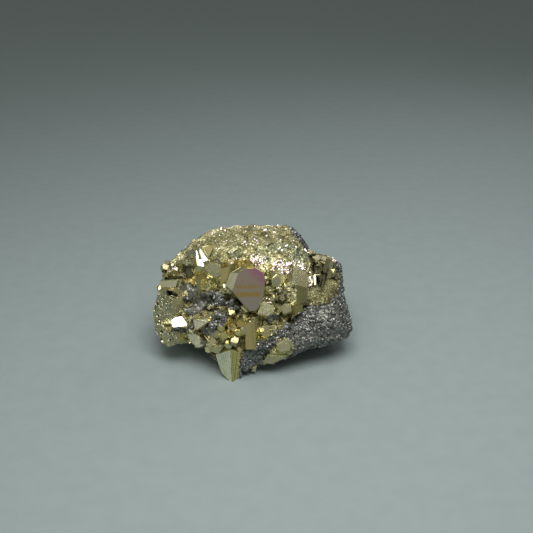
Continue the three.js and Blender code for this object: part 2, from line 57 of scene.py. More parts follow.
LOW, HIGH = (np.array(corner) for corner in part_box(NODE))
MM = (HIGH[0] - LOW[0]) / NOMINAL_WIDTH

FACE_LEAN = math.radians(30)
ACROSS = np.array([1.0, 0.0, 0.0])
UP = np.array([0.0, math.sin(FACE_LEAN), math.cos(FACE_LEAN)])
OUT = np.array([0.0, -math.cos(FACE_LEAN), math.sin(FACE_LEAN)])
FACE_ZERO = np.array([0.303, -0.791, 0.0])
KEY_WAY = np.array([-0.29, -0.386, 0.876])
KEY_DISTANCE = 0.41
GLINT_NORMAL = (KEY_WAY + OUT) / np.linalg.norm(KEY_WAY + OUT)

WELD = 0.002 * MM
FLAT_ANGLE = 0.004
BIG_FACET = 26 * MM * MM
SHALLOW_EDGE = math.radians(24)
FRONT_EDGE = 0.52 * MM
BACK_EDGE = 1.3 * MM
STEPPED_FACET = 7 * MM * MM
STRIATION_HEIGHT = 0.09 * MM
BURIED = 0.1 * MM
CHIP = 1.3 * MM
CHIP_SALT = 211
SINK = 0.4 * MM
CREASE = 0.28 * MM
LEVEL_ROUNDS = 12
CLEAR_OF_FLOOR = 1.2 * MM
SEED = 11

# Heights up the display side, in millimetres.
GLINT_FOOT = 24
CALM_FOOT = 25
CROWN_FOOT = 26
# The left crust is smooth beyond this place: across and up.
SMOOTH_FROM = (-14, 8)

random = np.random.default_rng(SEED)

# Outlines of the grey sulphide on the display side: across and up, in millimetres.
GREY_OUTLINES = {
    "left crust": [
        (-29.1, 21.8), (-25.2, 22.4), (-18.9, 19), (-14.4, 19), (-9.8, 18.7), (-7, 16.7),
        (-4.7, 13.9), (-4.7, 12.2), (-7.6, 11.6), (-9.8, 13.9), (-13, 13.6), (-16.7, 13.9),
        (-18.9, 13.3), (-21.2, 9.9), (-24, 9.9), (-27.4, 11.6), (-29.7, 16.7),
    ],
    "middle crust": [
        (-20.2, 3.2), (-18.4, 6.2), (-15.4, 8.4), (-14.2, 11.8), (-10.6, 11.4), (-9.4, 8.2),
        (-12.4, 5.6), (-14.6, 2.8), (-17.4, 1.8),
    ],
    "vein": [
        (-8.4, -15.8), (-7, -12.6), (-5.2, -10.4), (-4.4, -6.3), (-3, -3.5), (0.4, -2.9),
        (2.6, -0.1), (7.1, 2.7), (12.7, 6.5), (17.2, 3.3), (12.7, 2.1), (9.4, -0.1), (4.9, -4.6),
        (3.2, -8), (-0.8, -10.4), (-3, -13), (-6, -15.8),
    ],
    "crown edge": [
        (14.8, 43.8), (17, 46), (20.4, 44.5), (23.4, 37), (22.6, 34.2), (19.6, 37.4), (16.8, 40.4),
    ],
    "dome edge": [(33.6, 16), (34.8, 24), (33.4, 29), (34.6, 32), (41, 31), (41, 16)],
    "low crust": [
        (-31.5, 5.2), (-29, 6.2), (-25.4, 5.2), (-23.6, 8.6), (-22.4, 8.4), (-22.8, 4.8),
        (-25, 3.4), (-29, 3.6),
    ],
    "lowest crust": [(-19.6, -4.4), (-16.8, -4.6), (-14.4, -7), (-16.6, -7.6), (-19, -6)],
    "knob": [(5, 8.2), (5.6, 10.6), (7.6, 11), (9.2, 9.6), (8.6, 7.4), (6.4, 6.8)],
    "under the tip": [(-16, -9), (-14.2, -8), (-12, -12.6), (-8.6, -16), (-9, -19), (-17, -12)],
    "lobe": [
        (12.6, 6.2), (17.6, 10.9), (21.6, 13.2), (30.3, 13.8), (35.4, 20), (41, 20), (41, 0),
        (34.3, -1.6), (29.7, -4), (21.6, -7), (16, -6), (14.6, -1), (12.6, 2),
    ],
}
# Where brass shows through the grey of the display side.
GREY_GAPS = [((-25.5, 14.6), (2.5, 1.5)), ((-26.8, 18.6), (1.5, 1.3))]
# Grey areas of the sides and back: middle and half sizes, in millimetres.
GREY_LUMPS = [
    ((31, -2, 11), (14, 20, 13)),
    ((10, -20, 3), (18, 9, 6)),
    ((-13, 28, 12), (16, 11, 9)),
    ((5, 31, 7), (17, 9, 8)),
    ((25, 17, 14), (12, 13, 10)),
    ((22, 24, 27), (10, 10, 6)),
    ((-37, 8, 10), (9, 10, 8)),
]
# Painted shade in the hollows and crevices of the display side: middle and half sizes, in
# millimetres.
SHADE_OVALS = [
    ((-25.2, 27.2), (3.9, 3.6)), ((-9.6, 16.6), (2.2, 1.8)), ((-1.2, 10.4), (2.2, 1.2)),
    ((6.8, 22.4), (1, 2.6)), ((9.6, 14.8), (2.2, 1)), ((14.6, 7.4), (2.4, 1.4)),
    ((-32.6, 18.4), (3.2, 1.8)), ((-31, 24.6), (5.5, 0.8)), ((24.9, 30), (1.8, 1.1)),
    ((29, 26.5), (1.5, 4.6)), ((26.4, 23.4), (1.8, 4.8)), ((33.4, 27.4), (0.8, 2.2)),
    ((-14.6, -4.6), (2, 1.2)), ((-3.4, 14.6), (1.6, 1.2)), ((-16, 12.2), (5, 1.2)),
    ((-7.5, 11), (4.5, 1.3)), ((-18.6, -0.6), (1.2, 2.4)), ((-5.6, 15), (2.4, 2.4)),
    ((12.6, 15.8), (0.9, 3)), ((20.4, 14.6), (1.2, 3.4)), ((-30, 20.4), (2, 1)),
    ((26.3, 32.4), (6, 2.8)),
]
# The finely ribbed shoulder, and the cavity above it, painted dark as shade, at the right.
SHOULDER = [(19.5, 12.5), (21, 17.5), (24.5, 22.5), (31, 24), (36.5, 21.5), (35, 14), (30, 13)]
CAVITY = [(22.5, 31), (26, 33), (31, 32.5), (35, 28), (36, 22.5), (30, 23), (25, 20.5), (23.4, 25)]
# Crystals made darker than their neighbours.
DIM_OVALS = [
    ((-33, 28), (4, 3)), ((14, 19), (9, 6)), ((-8.9, 11.6), (2.6, 2.2)), ((-7.3, 0.3), (2.6, 2.2)),
]
# Golden patches of the brass.
GOLD_OVALS = [
    ((-8.8, 5.7), (7.5, 7)), ((-25.4, 15.2), (2.4, 1.4)), ((-10.2, 26), (3, 5)),
    ((-22, 23.5), (6, 5)), ((-32.5, 26.4), (4.5, 2)), ((2.6, 1), (3.4, 6)), ((-3, 30), (6, 2)),
    ((7.4, 28), (1.6, 2)), ((17.5, 12.4), (4.5, 4)),
]
# Green and grey patches of the brass.
GREEN_OVALS = [
    ((18.5, 33), (6, 4)), ((10, 36), (7, 2.4)), ((-6.4, 33.6), (3.2, 2.6)), ((14.6, 36), (4, 2)),
    ((11.6, 22.8), (2.6, 3.2)), ((5.6, 31.6), (2.6, 2)), ((-24, 32), (4, 3)),
]
# Places where many small crystals face the lamp.
GLINT_OVALS = [
    ((14, 28), (9, 4)), ((20.5, 23), (4, 4)), ((-30.5, 27.8), (4, 3)), ((-19, 34.5), (3, 3)),
    ((9.6, 18.4), (1, 3)), ((2, 31), (5, 2.4)),
]
# A bright edge under the big tarnished facet.
BRIGHT_RIDGES = [((5.2, 14.9), (2.2, 0.7))]
# Facets with a look of their own, found by a point on each.
# The big facet, with tarnish and gold bands of painted reflection.
TARNISHED_FACET = (-0.7, 20)
PITTED_FACETS = [(-35, 9), (-33.6, -0.4), (-36.5, 16), (-33, 14)]
MIRROR_FACETS = [(-28, 7.5), (-19.2, 32)]
# A dull ridge that splits the upper mirror facet into a V: its ends, and a facet of its colour.
MIRROR_RIDGE = {"on": (-19.2, 32), "start": (-19.9, 31.6), "stop": (-21.2, 36.4), "width": 2.9,
                "like": (-14.3, 27.3)}
CRUMPLED_FACETS = [(-22.6, 22.6), (-17.6, 21.8), (16, 22)]
FACET_LOOKS = {
    (-7.9, 23): {"tint": 1.15, "gold": 0.15},
    (-10.6, -7.6): {"tint": 1.25},
    (-6.4, -7): {"tint": 0.5, "gold": 0.65},
    (-0.8, 3): {"tint": 0.85, "gold": 0.75, "green": 0.3},
    (5, 12.6): {"tint": 0.38, "green": 0.3, "dark": 0.15},
    (14.6, 17): {"tint": 0.3, "gold": 0.6, "dark": 0.15},
    (17.4, 17.4): {"tint": 0.4, "gold": 0.4, "dark": 0.1},
    (-14.3, 27.3): {"tint": 0.35, "green": 0.35, "dark": 0.25},
    # Painted shade, so that this facet doesn't show the overhead lamp's reflection.
    (-17.6, 35.4): {"tint": 0.1, "gold": 0.2, "dark": 0.88},
    (-10.2, 26): {"tint": 0.5, "gold": 0.6},
    (9, 22.8): {"tint": 0.5, "green": 0.4},
    (-35, 9): {"tint": 0.6, "green": 0.35, "dark": 0.06},
    (-33, 21.9): {"tint": 1.0, "gold": 0.1},
    (-20, 7): {"tint": 1.15},
    (-22.4, 0.4): {"tint": 1.15},
    (11.7, -1.6): {"tint": 0.5, "green": 0.15},
    (6.4, 4.4): {"tint": 0.5, "gold": 0.3},
}
# Striations: their turn in degrees, their pitch in millimetres, and how dark they may be.
STRIATED_FACETS = {
    (-11, -8): (88, 1.0, 0.1),
    (-6.2, -7.5): (96, 1.1, 0.3),
    (-0.8, 3): (92, 1.0, 0.3),
    (-33, 21.8): (4, 1.0, 0.15),
    (-8, 22.5): (62, 0.9, 0.15),
    (-20.4, 7.2): (-12, 1.1, 0.15),
    (-22.2, 0.4): (118, 0.9, 0.15),
}


def display(points):
    """How far across, up and out on the display side points are, in millimetres."""
    p = points / MM - FACE_ZERO
    return p @ ACROSS, p @ UP, p @ OUT


def on_face(across, up, out=0.0):
    """A point given on the display side in millimetres."""
    return (FACE_ZERO + across * ACROSS + up * UP + out * OUT) * MM


# ---------------- noise
def lattice_hash(cells, salt):
    """Repeatable numbers from 0 to 1 for whole-number cells."""
    c = cells.astype(np.int64)
    h = c[..., 0] * 73856093 ^ c[..., 1] * 19349663 ^ c[..., 2] * 83492791 ^ (salt * 2654435761)
    h = (h ^ (h >> 13)) * 1274126177
    h = h ^ (h >> 16)
    return (h & 0xFFFFFF) / float(0xFFFFFF)


def lattice_vectors(cells, salt):
    """Three repeatable numbers from 0 to 1 for each cell."""
    return np.stack([lattice_hash(cells, salt + i) for i in range(3)], axis=1)


def value_noise(points, size, salt):
    """Smooth noise from -1 to 1 with features of the given size."""
    p = points / size
    base = np.floor(p)
    f = p - base
    f = f * f * (3 - 2 * f)
    total = np.zeros(len(points))
    for corner in np.ndindex(2, 2, 2):
        weight = np.prod(np.where(np.array(corner) == 1, f, 1 - f), axis=1)
        total += weight * lattice_hash(base + corner, salt)
    return total * 2 - 1


def warp(points, size, amount, salt):
    shift = [value_noise(points, size, salt + i) for i in range(3)]
    return points + amount * np.stack(shift, axis=1)


def nearest_seeds(points, size, salt):
    """For each point: the cell of its nearest seed, and the way to that seed, in cells."""
    p = points / size
    base = np.floor(p)
    nearest = np.full(len(points), np.inf)
    cells = base.copy()
    ways = np.zeros_like(p)
    for offset in np.ndindex(3, 3, 3):
        cell = base + np.array(offset) - 1
        away = p - (cell + lattice_vectors(cell, salt))
        distance = (away ** 2).sum(axis=1)
        closer = distance < nearest
        nearest = np.where(closer, distance, nearest)
        cells = np.where(closer[:, None], cell, cells)
        ways = np.where(closer[:, None], away, ways)
    return cells, ways


def chip_noise(points, size, tilt, step, salt):
    """Height of flat tilted chips, one for each cell, with small steps between them."""
    cells, ways = nearest_seeds(points, size, salt)
    lean = lattice_vectors(cells, salt + 3) * 2 - 1
    level = lattice_hash(cells, salt + 7) * 2 - 1
    return ((ways * lean).sum(axis=1) * tilt + level * step) * size


def grain_noise(points, size, salt):
    """Height from 0 to 1 of round grains packed side by side."""
    _, ways = nearest_seeds(points, size, salt)
    return np.clip(1 - (ways ** 2).sum(axis=1) * 1.6, 0, 1)


def pit_noise(points, size, share, salt):
    """Depth from 0 to 1 of scattered pits."""
    cells, ways = nearest_seeds(points, size, salt)
    present = lattice_hash(cells, salt + 5) < share
    radius = 0.22 + 0.26 * lattice_hash(cells, salt + 6)
    distance = np.linalg.norm(ways, axis=1)
    return np.clip(1.4 * (1 - distance / radius), 0, 1) * present


# ---------------- areas of the surface
def inside_outline(outline, across, up):
    """Which points are inside an outline on the display side."""
    inside = np.zeros(len(across), bool)
    for (a0, u0), (a1, u1) in zip(outline, outline[1:] + outline[:1]):
        crosses = (u0 > up) != (u1 > up)
        slope = (a1 - a0) / (u1 - u0) if u1 != u0 else 0.0
        inside ^= crosses & (across < a0 + (up - u0) * slope)
    return inside


def oval_share(ovals, across, up):
    """How far inside any of the ovals each point is, from 0 outside to 1 in the middle."""
    share = np.zeros(len(across))
    for middle, half in ovals:
        distance = np.hypot((across - middle[0]) / half[0], (up - middle[1]) / half[1])
        share = np.maximum(share, np.clip(2.2 * (1 - distance), 0, 1))
    return share


def shown_share(ovals, across, up, out):
    """The same on the display side, and 0 behind it."""
    return oval_share(ovals, across, up) * (out > 0)


def crown_shade(across, up, out):
    """Painted shade on the far rim and the left end of the crown."""
    rim = np.clip((up + 0.12 * np.abs(across) - 36) / 4, 0, 1)
    left = 0.8 * np.clip((-across - 14) / 4, 0, 1) * (up > 29)
    return 0.3 * np.maximum(rim, left) * (out > -12)


def grey_area(points, normals):
    """Which points the grey sulphide covers."""
    ragged = warp(warp(points, 2.2 * MM, 0.8 * MM, 61), 0.9 * MM, 0.4 * MM, 67)
    across, up, _ = display(ragged)
    facing = normals @ OUT > -0.3
    grey = np.zeros(len(points), bool)
    for outline in GREY_OUTLINES.values():
        grey |= facing & inside_outline(outline, across, up)
    grey &= oval_share(GREY_GAPS, across, up) == 0
    wander = 0.5 * value_noise(points, 8 * MM, 51) + 0.25 * value_noise(points, 3 * MM, 53)
    for middle, half in GREY_LUMPS:
        inside = 1 - np.sqrt((((ragged / MM - middle) / half) ** 2).sum(axis=1)) + wander > 0
        grey |= inside & (normals @ OUT < 0.15)
    return grey


# ---------------- the CAD surface
def cad_triangles():
    """Points and triangles of the CAD solid, with shared corners merged."""
    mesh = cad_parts[NODE].data
    mesh.calc_loop_triangles()
    points = np.zeros(len(mesh.vertices) * 3)
    mesh.vertices.foreach_get("co", points)
    points = points.reshape(-1, 3)
    triangles = np.zeros(len(mesh.loop_triangles) * 3, np.int64)
    mesh.loop_triangles.foreach_get("vertices", triangles)
    triangles = triangles.reshape(-1, 3)
    keys = np.round(points / WELD).astype(np.int64)
    _, first, merged = np.unique(keys, axis=0, return_index=True, return_inverse=True)
    triangles = merged.reshape(-1)[triangles]
    whole = ((triangles[:, 0] != triangles[:, 1]) & (triangles[:, 1] != triangles[:, 2])
             & (triangles[:, 2] != triangles[:, 0]))
    return points[first], triangles[whole]


def normals_areas(points, triangles):
    a, b, c = (points[triangles[:, i]] for i in range(3))
    cross = np.cross(b - a, c - a)
    length = np.linalg.norm(cross, axis=1)
    return cross / np.maximum(length, 1e-18)[:, None], length / 2


def edge_table(triangles):
    """Unique edges, and for each triangle the numbers of its three edges."""
    pairs = np.sort(triangles[:, [[0, 1], [1, 2], [2, 0]]].reshape(-1, 2), axis=1)
    edges, numbers = np.unique(pairs, axis=0, return_inverse=True)
    return edges, numbers.reshape(-1, 3)


def edge_neighbours(triangles):
    """Edges with exactly two triangles, and those two triangles."""
    edges, numbers = edge_table(triangles)
    order = np.argsort(numbers.reshape(-1), kind="stable")
    sorted_edges = numbers.reshape(-1)[order]
    owner = order // 3
    starts = np.flatnonzero(np.diff(sorted_edges, prepend=-1))
    counts = np.diff(np.append(starts, len(sorted_edges)))
    double = starts[counts == 2]
    return edges[sorted_edges[double]], owner[double], owner[double + 1]


def find_patches(points, triangles):
    """Numbers the flat patches of the surface, and says which are crystal facets."""
    normals, areas = normals_areas(points, triangles)
    edges, left, right = edge_neighbours(triangles)
    angle = np.arccos(np.clip((normals[left] * normals[right]).sum(axis=1), -1, 1))
    parent = np.arange(len(triangles))

    def root(i):
        while parent[i] != i:
            parent[i] = parent[parent[i]]
            i = parent[i]
        return i

    for i, j in zip(left[angle < FLAT_ANGLE], right[angle < FLAT_ANGLE]):
        parent[root(i)] = root(j)
    roots = np.array([root(i) for i in range(len(triangles))])
    _, patch = np.unique(roots, return_inverse=True)
    count = patch.max() + 1
    patch_area = np.bincount(patch, areas, count)
    border = patch[left] != patch[right]
    length = np.linalg.norm(points[edges[:, 0]] - points[edges[:, 1]], axis=1)
    total = np.zeros(count)
    shallow = np.zeros(count)
    for side in (left, right):
        total += np.bincount(patch[side[border]], length[border], count)
        soft = border & (angle < SHALLOW_EDGE)
        shallow += np.bincount(patch[side[soft]], length[soft], count)
    facet = (shallow < 0.25 * total) | (patch_area > BIG_FACET)
    return patch, facet


def patch_at(points, triangles, patch, place):
    """The patch that shows at a place on the display side."""
    across, up, out = display(points)
    x, y, z = across[triangles], up[triangles], out[triangles]
    area = (x[:, 1] - x[:, 0]) * (y[:, 2] - y[:, 0]) - (x[:, 2] - x[:, 0]) * (y[:, 1] - y[:, 0])
    area = np.where(np.abs(area) < 1e-9, 1e-9, area)
    depth = np.zeros(len(triangles))
    inside = np.ones(len(triangles), bool)
    for i in range(3):
        j, k = (i + 1) % 3, (i + 2) % 3
        share = ((x[:, j] - place[0]) * (y[:, k] - place[1])
                 - (x[:, k] - place[0]) * (y[:, j] - place[1])) / area
        inside &= share >= 0
        depth += share * z[:, i]
    return patch[np.argmax(np.where(inside, depth, -np.inf))]


def patch_middles(points, triangles, patch):
    """The middle of each patch, and its outward normal."""
    normals, areas = normals_areas(points, triangles)
    middles = points[triangles].mean(axis=1)
    total = np.bincount(patch, areas)

    def weighted(values):
        columns = [np.bincount(patch, values[:, i] * areas) / total for i in range(3)]
        return np.stack(columns, axis=1)

    return weighted(middles), weighted(normals)


def buried_facets(points, triangles, patch):
    """Flat patches that the grey sulphide grows over."""
    middle, normal = patch_middles(points, triangles, patch)
    across, up, _ = display(middle)
    buried = np.zeros(len(middle), bool)
    for outline in GREY_OUTLINES.values():
        buried |= inside_outline(outline, across, up)
    return buried & (normal @ OUT > -0.3)


# ---------------- a finer surface
SPLITS = {
    0: [(0, 1, 2)],
    1: [(0, 3, 2), (3, 1, 2)],
    2: [(0, 1, 4), (0, 4, 2)],
    4: [(0, 1, 5), (5, 1, 2)],
    3: [(0, 3, 4), (3, 1, 4), (0, 4, 2)],
    6: [(0, 1, 4), (0, 4, 5), (5, 4, 2)],
    5: [(0, 3, 5), (3, 1, 2), (3, 2, 5)],
    7: [(0, 3, 5), (3, 1, 4), (5, 4, 2), (3, 4, 5)],
}


def refine(points, triangles, patch, fine):
    """Halves long edges of the patches that are marked fine, more of them on the front."""
    while True:
        edges, numbers = edge_table(triangles)
        length = np.linalg.norm(points[edges[:, 0]] - points[edges[:, 1]], axis=1)
        middles = points[edges].mean(axis=1)
        longest = np.where(display(middles)[2] > 0, FRONT_EDGE, BACK_EDGE)
        near_fine = np.zeros(len(edges), bool)
        near_fine[numbers[fine[patch]].reshape(-1)] = True
        split = near_fine & (length > longest)
        if not split.any():
            return points, triangles, patch
        middle = np.full(len(edges), -1)
        middle[split] = len(points) + np.arange(split.sum())
        points = np.vstack([points, middles[split]])
        six = np.hstack([triangles, middle[numbers]])
        code = split[numbers] @ np.array([1, 2, 4])
        pieces = []
        owners = []
        for value, pattern in SPLITS.items():
            rows = np.flatnonzero(code == value)
            for corners in pattern:
                pieces.append(six[rows][:, corners])
                owners.append(patch[rows])
        triangles = np.vstack(pieces)
        patch = np.concatenate(owners)


def neighbour_mean(values, edges, rounds=1):
    """The mean of each point's neighbours, taken again for each further round."""
    count = len(values)
    total = np.zeros_like(values)
    for i, j in ((0, 1), (1, 0)):
        for axis in range(values.shape[1]):
            total[:, axis] += np.bincount(edges[:, i], values[edges[:, j], axis], count)
    degree = np.bincount(edges.reshape(-1), minlength=count)
    means = total / np.maximum(degree, 1)[:, None]
    return neighbour_mean(means, edges, rounds - 1) if rounds > 1 else means


def point_normals(points, triangles):
    normals, areas = normals_areas(points, triangles)
    total = np.zeros_like(points)
    for corner in range(3):
        for axis in range(3):
            total[:, axis] += np.bincount(
                triangles[:, corner], normals[:, axis] * areas, len(points))
    return total / np.maximum(np.linalg.norm(total, axis=1), 1e-18)[:, None]


# ---------------- mesh objects
def add_piece(name, points, triangles, material, looks):
    """A flat-shaded piece, with a number for each face under each name in looks."""
    mesh = bpy.data.meshes.new(name)
    count = len(triangles)
    mesh.vertices.add(len(points))
    mesh.vertices.foreach_set("co", np.ascontiguousarray(points, np.float32).reshape(-1))
    mesh.loops.add(count * 3)
    mesh.loops.foreach_set("vertex_index", triangles.astype(np.int32).reshape(-1))
    mesh.polygons.add(count)
    mesh.polygons.foreach_set("loop_start", np.arange(0, count * 3, 3, dtype=np.int32))
    mesh.update(calc_edges=True)
    mesh.shade_flat()
    for key, values in looks.items():
        attribute = mesh.attributes.new(key, "FLOAT", "FACE")
        attribute.data.foreach_set("value", values.astype(np.float32))
    mesh.materials.append(material)
    piece = bpy.data.objects.new(name, mesh)
    bpy.context.scene.collection.objects.link(piece)
    print(name, count, "triangles")
    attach(piece, "root")
    return piece


# ---------------- colours
# Ramps are lists of a place and a colour, or of a place and a grey level.
BRASS_STOPS = [
    (0.0, (0.34, 0.31, 0.15)), (0.25, (0.52, 0.485, 0.25)), (0.5, (0.66, 0.615, 0.345)),
    (0.75, (0.77, 0.725, 0.45)), (0.9, (0.81, 0.795, 0.55)), (1.0, (0.92, 0.90, 0.66)),
]
GLINT_STOPS = [(0.0, (0.36, 0.25, 0.33)), (0.5, (0.52, 0.41, 0.46)), (1.0, (0.85, 0.73, 0.72))]
SULPHIDE_STOPS = [
    (0.0, (0.07, 0.07, 0.065)), (0.5, (0.215, 0.22, 0.205)), (0.85, (0.34, 0.35, 0.335)),
    (0.95, (0.55, 0.56, 0.56)), (1.0, (0.55, 0.48, 0.30)),
]
GREEN_STAIN = (0.40, 0.46, 0.33)
GOLD_TINT = (0.60, 0.49, 0.15)
GREY_STAIN = (0.31, 0.31, 0.27)
# Near black, which the "dark" look mixes in: mostly painted shade in hollows, creases, pits and on
# the crown's rim, partly darker tone.
SHADE_AND_DARK_TONE = (0.045, 0.04, 0.02)
# Near white on the mirror facets, so that the lamp's reflection on them reads white: painted
# highlight.
HIGHLIGHT_WHITE = (0.95, 0.90, 0.93)
# The tarnish film of the big facet: its colour up the facet, two gold bands of painted reflection
# and their ends.
FILM_STOPS = [
    (0.0, (0.50, 0.48, 0.36)), (0.35, (0.53, 0.475, 0.375)), (0.65, (0.56, 0.455, 0.36)),
    (1.0, (0.57, 0.43, 0.36)),
]
REFLECTION_BAND_STOPS = [
    (0.405, 0.0), (0.435, 1.0), (0.485, 1.0), (0.52, 0.0),
    (0.56, 0.0), (0.585, 0.75), (0.62, 0.75), (0.66, 0.0),
]
REFLECTION_BAND_ENDS = [(0.12, 0.0), (0.3, 1.0), (0.88, 1.0), (1.0, 0.0)]
REFLECTION_BAND_COLOUR = (0.58, 0.40, 0.13)
CORNER_COLOUR = (0.66, 0.24, 0.38)
STREAK_STRETCH = (1.0, 0.15, 0.15)
FLOOR_STOPS = [(0.35, (0.268, 0.326, 0.323)), (0.65, (0.28, 0.34, 0.337))]
SKY_STOPS = [
    (0.0, (0.075, 0.086, 0.084)), (0.13, (0.27, 0.29, 0.29)), (0.35, (0.31, 0.32, 0.31)),
    (0.6, (0.28, 0.29, 0.27)), (0.8, (0.20, 0.20, 0.19)), (1.0, (0.16, 0.16, 0.15)),
]
SHADE_COLOUR = (0.04, 0.04, 0.035)


# ---------------- materials
class Network:
    """A shader network being built: each method adds a node and gives its output."""

    def __init__(self, owner):
        owner.use_nodes = True
        self.nodes, self.links = owner.node_tree.nodes, owner.node_tree.links
        self.nodes.clear()

    def add(self, kind):
        return self.nodes.new("ShaderNode" + kind)

    def fill(self, socket, value):
        """Feeds a socket from another node, or sets its number or colour."""
        if hasattr(value, "links"):
            self.links.new(value, socket)
        else:
            socket.default_value = (*value, 1.0) if socket.type == "RGBA" else value

    def coordinates(self):
        return self.add("TexCoord").outputs["Object"]

    def attribute(self, name):
        node = self.add("Attribute")
        node.attribute_name = name
        return node.outputs["Fac"]

    def noise(self, place, scale, detail=3.0, distortion=0.0):
        node = self.add("TexNoise")
        values = {"Vector": place, "Scale": scale, "Detail": detail, "Distortion": distortion}
        for name, value in values.items():
            self.fill(node.inputs[name], value)
        return node.outputs["Fac"]

    def ramp(self, source, stops):
        """Colours along a source; a stop is a place and a colour, or a place and a grey level."""
        node = self.add("ValToRGB")
        elements = node.color_ramp.elements
        while len(elements) < len(stops):
            elements.new(0.5)
        for element, (place, colour) in zip(elements, stops):
            element.position = place
            element.color = (*colour, 1.0) if isinstance(colour, tuple) else (*[colour] * 3, 1.0)
        self.fill(node.inputs["Fac"], source)
        return node.outputs["Color"]

    def math(self, operation, *values):
        node = self.add("Math")
        node.operation = operation
        for socket, value in zip(node.inputs, values):
            self.fill(socket, value)
        return node.outputs["Value"]

    def scale_add(self, value, factor, extra):
        return self.math("MULTIPLY_ADD", value, factor, extra)

    def vector_math(self, operation, first, second, output):
        node = self.add("VectorMath")
        node.operation = operation
        self.fill(node.inputs[0], first)
        self.fill(node.inputs[1], second)
        return node.outputs[output]

    def reach(self, place, way, start, span):
        """How far along a direction the surface is: 0 at the start, 1 after the span."""
        along = self.vector_math("DOT_PRODUCT", place, way, "Value")
        return self.scale_add(along, 1 / span, -start / span)

    def mix(self, share, first, second):
        """A colour mixed from two others; the second may be a plain colour."""
        node = self.add("Mix")
        node.data_type = "RGBA"
        for name, value in (("Factor", share), ("A", first), ("B", second)):
            self.fill(node.inputs[name], value)
        return node.outputs["Result"]


def new_material(name):
    """A material, its network, and the one shader that the network feeds."""
    material = bpy.data.materials.new(name)
    net = Network(material)
    shader = net.add("BsdfPrincipled")
    net.links.new(shader.outputs["BSDF"], net.add("OutputMaterial").inputs["Surface"])
    return material, net, shader


def tarnish_and_reflection_colour(net, place):
    """Pinkish brown tarnish film with two gold bands of painted reflection and a magenta corner,
    as on the big facet.
    """
    stretched = net.vector_math("MULTIPLY", place, STREAK_STRETCH, "Vector")
    streaks = net.noise(stretched, 1.3 / MM, 2.0)
    height = net.reach(place, UP, on_face(0, 10) @ UP, 20 * MM)
    height = net.scale_add(streaks, 0.13, height)
    width = net.reach(place, ACROSS, on_face(-8, 0) @ ACROSS, 13 * MM)
    width = net.scale_add(streaks, 0.2, width)
    share = net.math("MULTIPLY", net.ramp(height, REFLECTION_BAND_STOPS), net.ramp(width, REFLECTION_BAND_ENDS))
    film = net.mix(share, net.ramp(height, FILM_STOPS), REFLECTION_BAND_COLOUR)
    corner = (ACROSS + UP) / math.sqrt(2)
    glow = net.reach(place, corner, on_face(1.0, 22.2) @ corner, 5 * MM)
    return net.mix(net.ramp(glow, [(0.0, 0.0), (1.0, 1.0)]), film, CORNER_COLOUR)


def pyrite_material(name, stops, roughness, grain, bump):
    """Brassy metal: tarnish patches, a tint for each facet, fine grain in the gloss."""
    material, net, shader = new_material(name)
    place = net.coordinates()
    total = net.scale_add(net.noise(place, 0.14 / MM), 0.9, -0.45)
    total = net.scale_add(net.noise(place, 0.8 / MM, 4.0), 0.2, total)
    total = net.scale_add(net.attribute("tint"), 0.8, total)
    colour = net.ramp(total, stops)
    green = net.ramp(net.noise(place, 0.27 / MM), [(0.46, 0.0), (0.66, 0.3)])
    green = net.math("MAXIMUM", green, net.attribute("green"))
    colour = net.mix(green, colour, GREEN_STAIN)
    colour = net.mix(net.attribute("gold"), colour, GOLD_TINT)
    # The big facet's tarnish film, with its gold bands of painted reflection.
    colour = net.mix(net.attribute("tarnish"), colour, tarnish_and_reflection_colour(net, place))
    colour = net.mix(net.attribute("grey"), colour, GREY_STAIN)
    # Painted shade, and some darker tone, mixed in by the "dark" look.
    colour = net.mix(net.attribute("dark"), colour, SHADE_AND_DARK_TONE)
    mirror = net.attribute("mirror")
    # Mirror facets take the near-white of painted highlight, and less roughness.
    net.fill(shader.inputs["Base Color"], net.mix(mirror, colour, HIGHLIGHT_WHITE))
    least, most = roughness
    gloss = net.scale_add(net.noise(place, grain / MM, 4.0), most - least, least)
    gloss = net.scale_add(mirror, -least, gloss)
    uneven = net.attribute("uneven")
    net.fill(shader.inputs["Roughness"], net.scale_add(uneven, 0.25, gloss))
    wrinkles = net.math("SUBTRACT", net.noise(place, 0.55 / MM, 5.0, 1.4), 0.5)
    wrinkles = net.math("MULTIPLY", net.math("ABSOLUTE", wrinkles), uneven)
    waves = net.noise(place, 0.6 / MM, 1.0)
    relief = net.add("Bump")
    net.fill(relief.inputs["Strength"], 1.0)
    net.fill(relief.inputs["Distance"], bump * MM)
    net.fill(relief.inputs["Height"], net.scale_add(waves, 0.04, wrinkles))
    net.fill(shader.inputs["Normal"], relief.outputs["Normal"])
    shader.inputs["Metallic"].default_value = 1.0
    return material


def sulphide_material():
    """Grey metallic grains: each grain has its own shade, with a few brassy ones."""
    material, net, shader = new_material("grey_sulphide")
    fine = net.noise(net.coordinates(), 1.8 / MM)
    shade = net.math("ADD", net.scale_add(fine, 0.24, -0.12), net.attribute("tint"))
    net.fill(shader.inputs["Base Color"], net.ramp(shade, SULPHIDE_STOPS))
    net.fill(shader.inputs["Roughness"], net.scale_add(fine, 0.35, 0.2))
    shader.inputs["Metallic"].default_value = 0.9
    return material


def floor_material():
    material, net, shader = new_material("floor")
    grain = net.noise(net.coordinates(), 0.15 / MM)
    net.fill(shader.inputs["Base Color"], net.ramp(grain, FLOOR_STOPS))
    shader.inputs["Roughness"].default_value = 0.6
    return material


# ---------------- relief of the facets
def facet_axes(normal):
    """Rightward and upward directions in the plane of a facet."""
    reference = UP if abs(normal @ UP) < 0.9 else ACROSS
    right = np.cross(reference, normal)
    right /= np.linalg.norm(right)
    return right, np.cross(normal, right)


def rim_edges(rows):
    """The directed edges round the outside of a group of triangles."""
    edges = rows[:, [[0, 1], [1, 2], [2, 0]]].reshape(-1, 2)
    known = set(map(tuple, edges.tolist()))
    return np.array([edge for edge in edges.tolist() if (edge[1], edge[0]) not in known])


